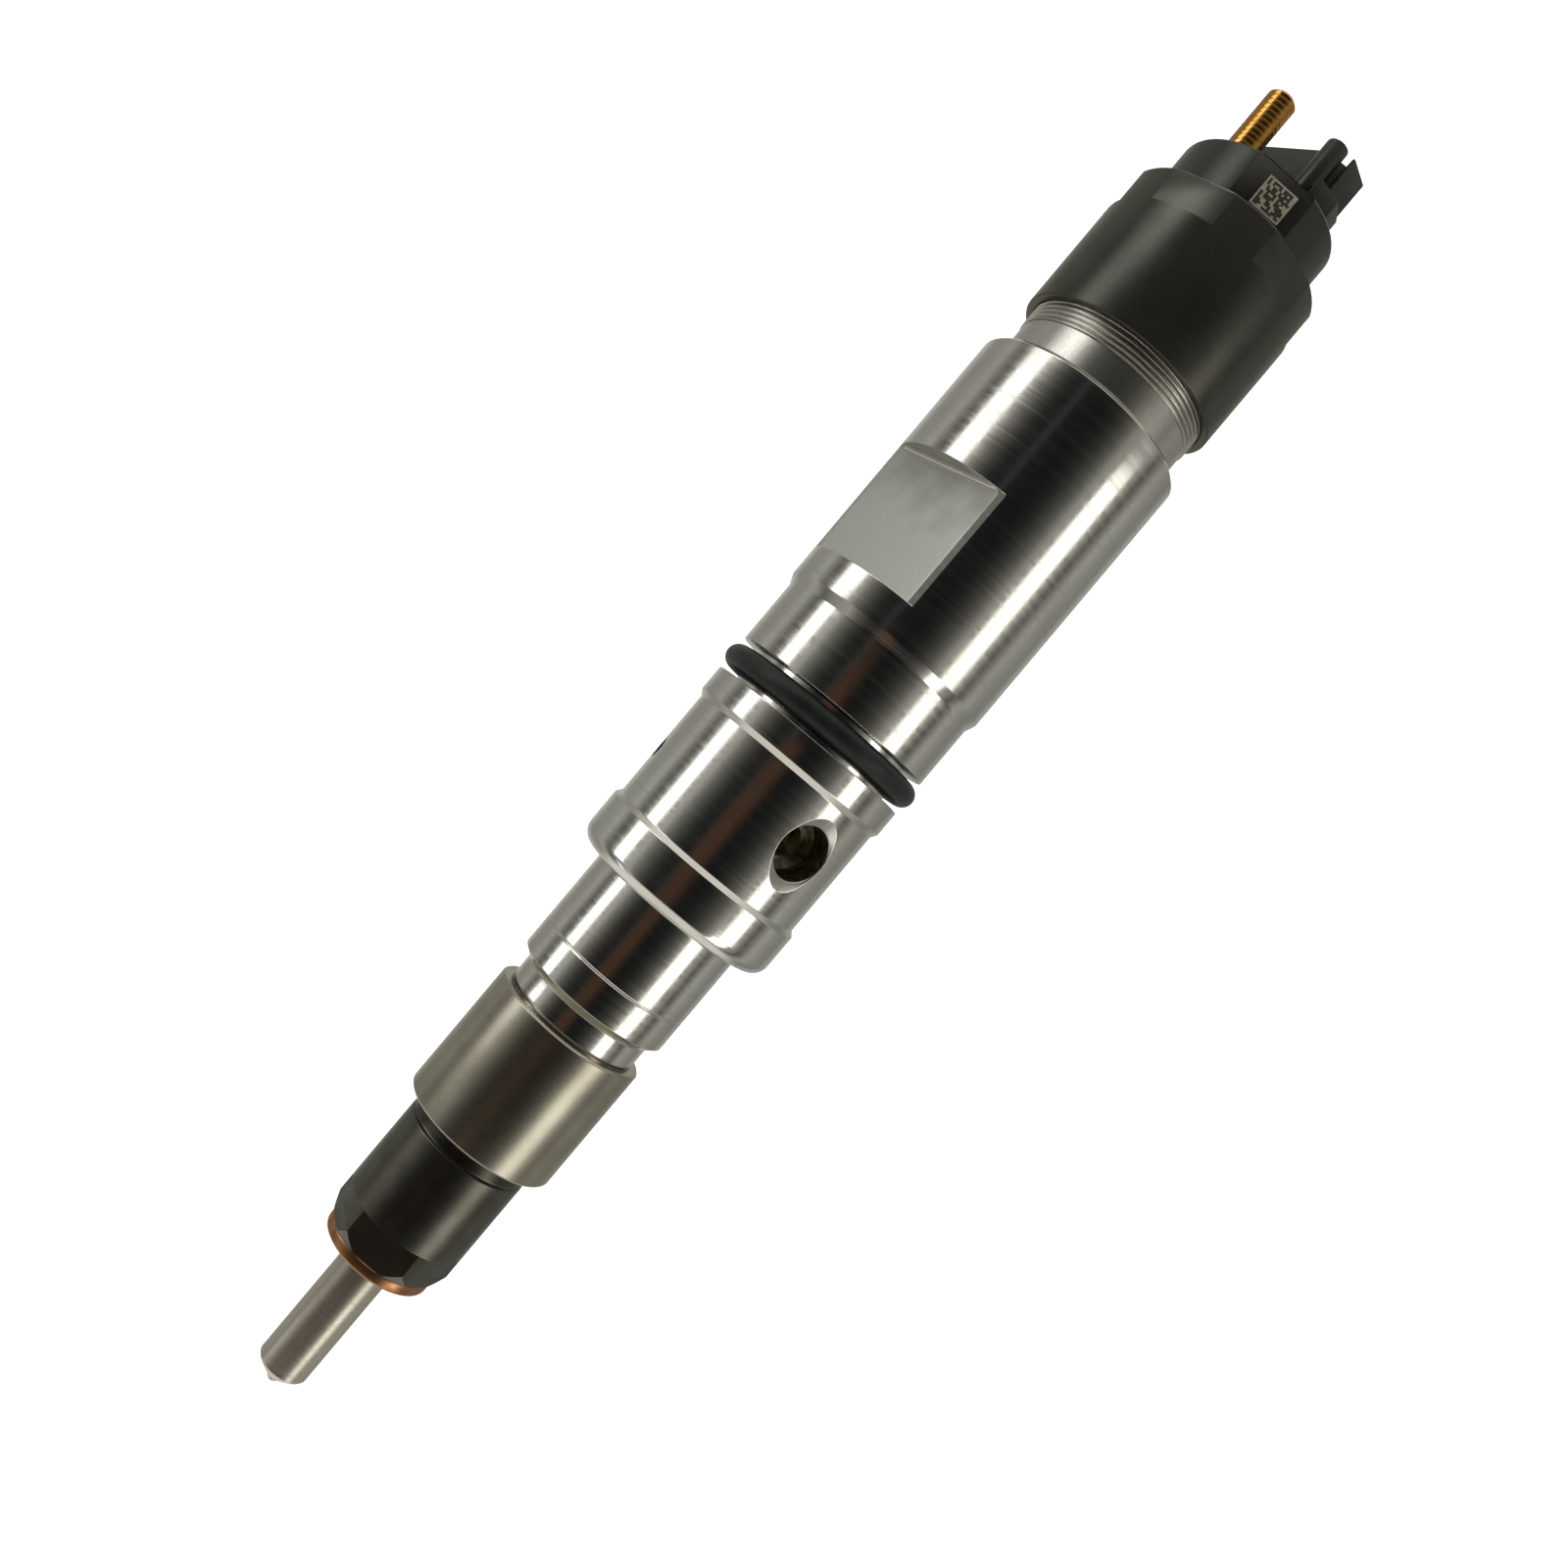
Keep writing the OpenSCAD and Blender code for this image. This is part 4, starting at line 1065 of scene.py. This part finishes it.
for node, obj in frame["nodes"].items():
    obj.data.materials.clear()
    obj.data.materials.append(FINISHES[SLOT_OF[node]])
for make in (injector_body, neck_thread, nozzle_body, nozzle_retaining_nut, sealing_washer, body_o_ring,
             solenoid_nut, terminal_studs, terminal_cover, code_label):
    make()
coil_spring("nozzle_spring")
coil_spring("valve_spring")


# ---------------------------------------------------------------- stage, light and camera


def emissive(name, colour, strength):
    """A matt paint that glows by itself."""
    m = bpy.data.materials.new(name)
    m.use_nodes = True
    shader = m.node_tree.nodes["Principled BSDF"]
    shader.inputs["Base Color"].default_value = rgb(*colour)
    shader.inputs["Roughness"].default_value = 0.9
    shader.inputs["Emission Color"].default_value = rgb(*colour)
    shader.inputs["Emission Strength"].default_value = strength
    return m


FLOOR_R, FLOOR_GAP, DOME_R = 1.6, 1.0, 2.5  # radii in metres, the gap below the tip in mm
FLOOR_GLOW, DOME_GLOW, STAGE_PAINT = 0.8, 1.05, (0.97, 0.97, 0.97)


def stage():
    """A pale floor below the nozzle tip and a white dome that only the camera sees."""
    bm = bmesh.new()
    bmesh.ops.create_circle(bm, cap_ends=True, segments=96, radius=FLOOR_R / MM)
    floor_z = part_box("nozzle_body")[0].z / MM - FLOOR_GAP
    floor = place(new_mesh("floor", bm), Matrix.Translation((0, 0, floor_z)))
    bm = bmesh.new()
    bmesh.ops.create_uvsphere(bm, u_segments=64, v_segments=32, radius=DOME_R / MM)
    dome = new_mesh("backdrop", bm)
    for obj, strength in ((floor, FLOOR_GLOW), (dome, DOME_GLOW)):
        obj.data.transform(Matrix.Scale(MM, 4))
        obj.data.materials.append(emissive(obj.name + "_paint", STAGE_PAINT, strength))
        obj.visible_diffuse = obj.visible_glossy = obj.visible_shadow = False
        obj.visible_transmission = obj.visible_volume_scatter = False


# What a mirror sees round the object at low height: (azimuth, grey)
ROOM = [
    (-180, 0.50), (-155, 0.52), (-138, 0.30), (-120, 0.31), (-105, 0.42), (-98, 0.24), (-90, 0.09),
    (-82, 0.25), (-56, 0.42), (-50, 0.20), (-44, 0.11), (-36, 0.045), (-30, 0.022), (-20, 0.016),
    (-13, 0.045), (-9, 0.014), (0, 0.012), (10, 0.010), (20, 0.014), (30, 0.03), (40, 0.08), (46, 0.15),
    (52, 0.32), (84, 0.28), (91, 0.08), (98, 0.22), (106, 0.40), (120, 0.29), (137, 0.23), (152, 0.36),
    (180, 0.45),
]
COOL_REACH = 28  # the front of the room, in degrees to each side, is slightly blue
STREAK_AT, STREAK_CORE, STREAK_REACH = -7.0, 3.0, 13.0  # a low brown streak, in degrees
STREAK_LOW, STREAK_TOP = 2.0, 6.0  # the elevations where it is full and gone
CEILING_FROM, CEILING_FULL = 38, 52  # the elevations, up or down, where the light ceiling and floor begin


def surroundings():
    """A dim procedural room: dark in front, olive grey behind, light overhead and low down."""
    world = bpy.data.worlds.new("studio")
    bpy.context.scene.world = world
    world.use_nodes = True
    m = Nodes(world.node_tree, "Generated")
    background = m.tree.nodes["Background"]
    x, y, z = m.parts()
    azimuth = m.math("MULTIPLY", m.math("ARCTAN2", x, m.math("MULTIPLY", y, -1.0)), 180 / math.pi)
    elevation = m.math("MULTIPLY", m.math("ARCSINE", z), 180 / math.pi)
    stops = []
    for at, grey in ROOM:
        red, blue = (0.86, 1.02) if abs(at) < COOL_REACH else (1.0, 0.92)
        stops.append(((at + 180) / 360, rgb(grey * red, grey, grey * blue)))
    colour = m.ramp(m.range(azimuth, -180, 180), stops)
    off_streak = m.math("ABSOLUTE", m.math("ADD", azimuth, -STREAK_AT))
    streak = m.math("SUBTRACT", 1.0, m.range(off_streak, STREAK_CORE, STREAK_REACH))
    low = m.range(elevation, STREAK_TOP, STREAK_LOW)
    colour = m.mix(m.math("MULTIPLY", streak, low), colour, rgb(0.070, 0.037, 0.024))
    steep = m.range(m.math("ABSOLUTE", elevation), CEILING_FROM, CEILING_FULL)
    colour = m.mix(steep, colour, rgb(0.80, 0.78, 0.74))
    m.tree.links.new(colour, background.inputs["Color"])
    background.inputs["Strength"].default_value = 1.0


# Soft boxes: name, azimuth, lower and upper height in metres, degrees across, radiance and colour
STRIPS = [
    ("strip_left", -72, -0.13, 0.37, 15, 1.8, (1, 1, 1)),
    ("strip_left_top", -72, 0.37, 0.62, 15, 1.2, (1, 1, 1)),
    ("strip_left_inner", -61.5, 0.16, 0.42, 6, 1.5, (1, 1, 1)),
    ("strip_left_head", -58, 0.43, 0.62, 16, 3.8, (1, 1, 1)),
    ("strip_left_low", -75, -0.56, -0.31, 9, 0.8, (1, 1, 1)),
    ("strip_right_low", 64, -0.45, -0.023, 20, 1.8, (1.0, 0.98, 0.93)),
    ("strip_right", 69, -0.023, 0.36, 18, 1.75, (1.0, 0.97, 0.91)),
]


def strip_light(name, azimuth, low, high, wide, radiance, tint, away=0.6):
    """An upright soft box between two heights, wide degrees across as seen from the axis."""
    data = bpy.data.lights.new(name, "AREA")
    width, tall = away * math.radians(wide), high - low
    data.shape, data.size, data.size_y, data.color = "RECTANGLE", width, tall, tint
    data.energy = radiance * math.pi * width * tall
    light = bpy.data.objects.new(name, data)
    bpy.context.scene.collection.objects.link(light)
    light.location = radial(azimuth) * away + Vector((0, 0, (low + high) / 2))
    light.rotation_euler = (math.radians(90), 0, math.radians(azimuth))


CAMERA_AT, CAMERA_ROLL, CAMERA_LENS = (0.00123, -0.1673, 0.0778), 49.90, 30.6


def camera():
    """A level camera in front, rolled so that the injector lies across the picture."""
    data = bpy.data.cameras.new("camera")
    data.lens, data.sensor_width = CAMERA_LENS, 36.0
    data.clip_start, data.clip_end = 0.01, 10.0
    cam = bpy.data.objects.new("camera", data)
    bpy.context.scene.collection.objects.link(cam)
    roll = math.radians(CAMERA_ROLL)
    cam.matrix_world = Matrix.Translation(CAMERA_AT) @ Matrix((
        (math.sin(roll), -math.cos(roll), 0, 0), (0, 0, -1, 0),
        (math.cos(roll), math.sin(roll), 0, 0), (0, 0, 0, 1),
    ))
    bpy.context.scene.camera = cam


stage()
surroundings()
for strip in STRIPS:
    strip_light(*strip)
camera()
bpy.context.scene.view_settings.view_transform = "Standard"
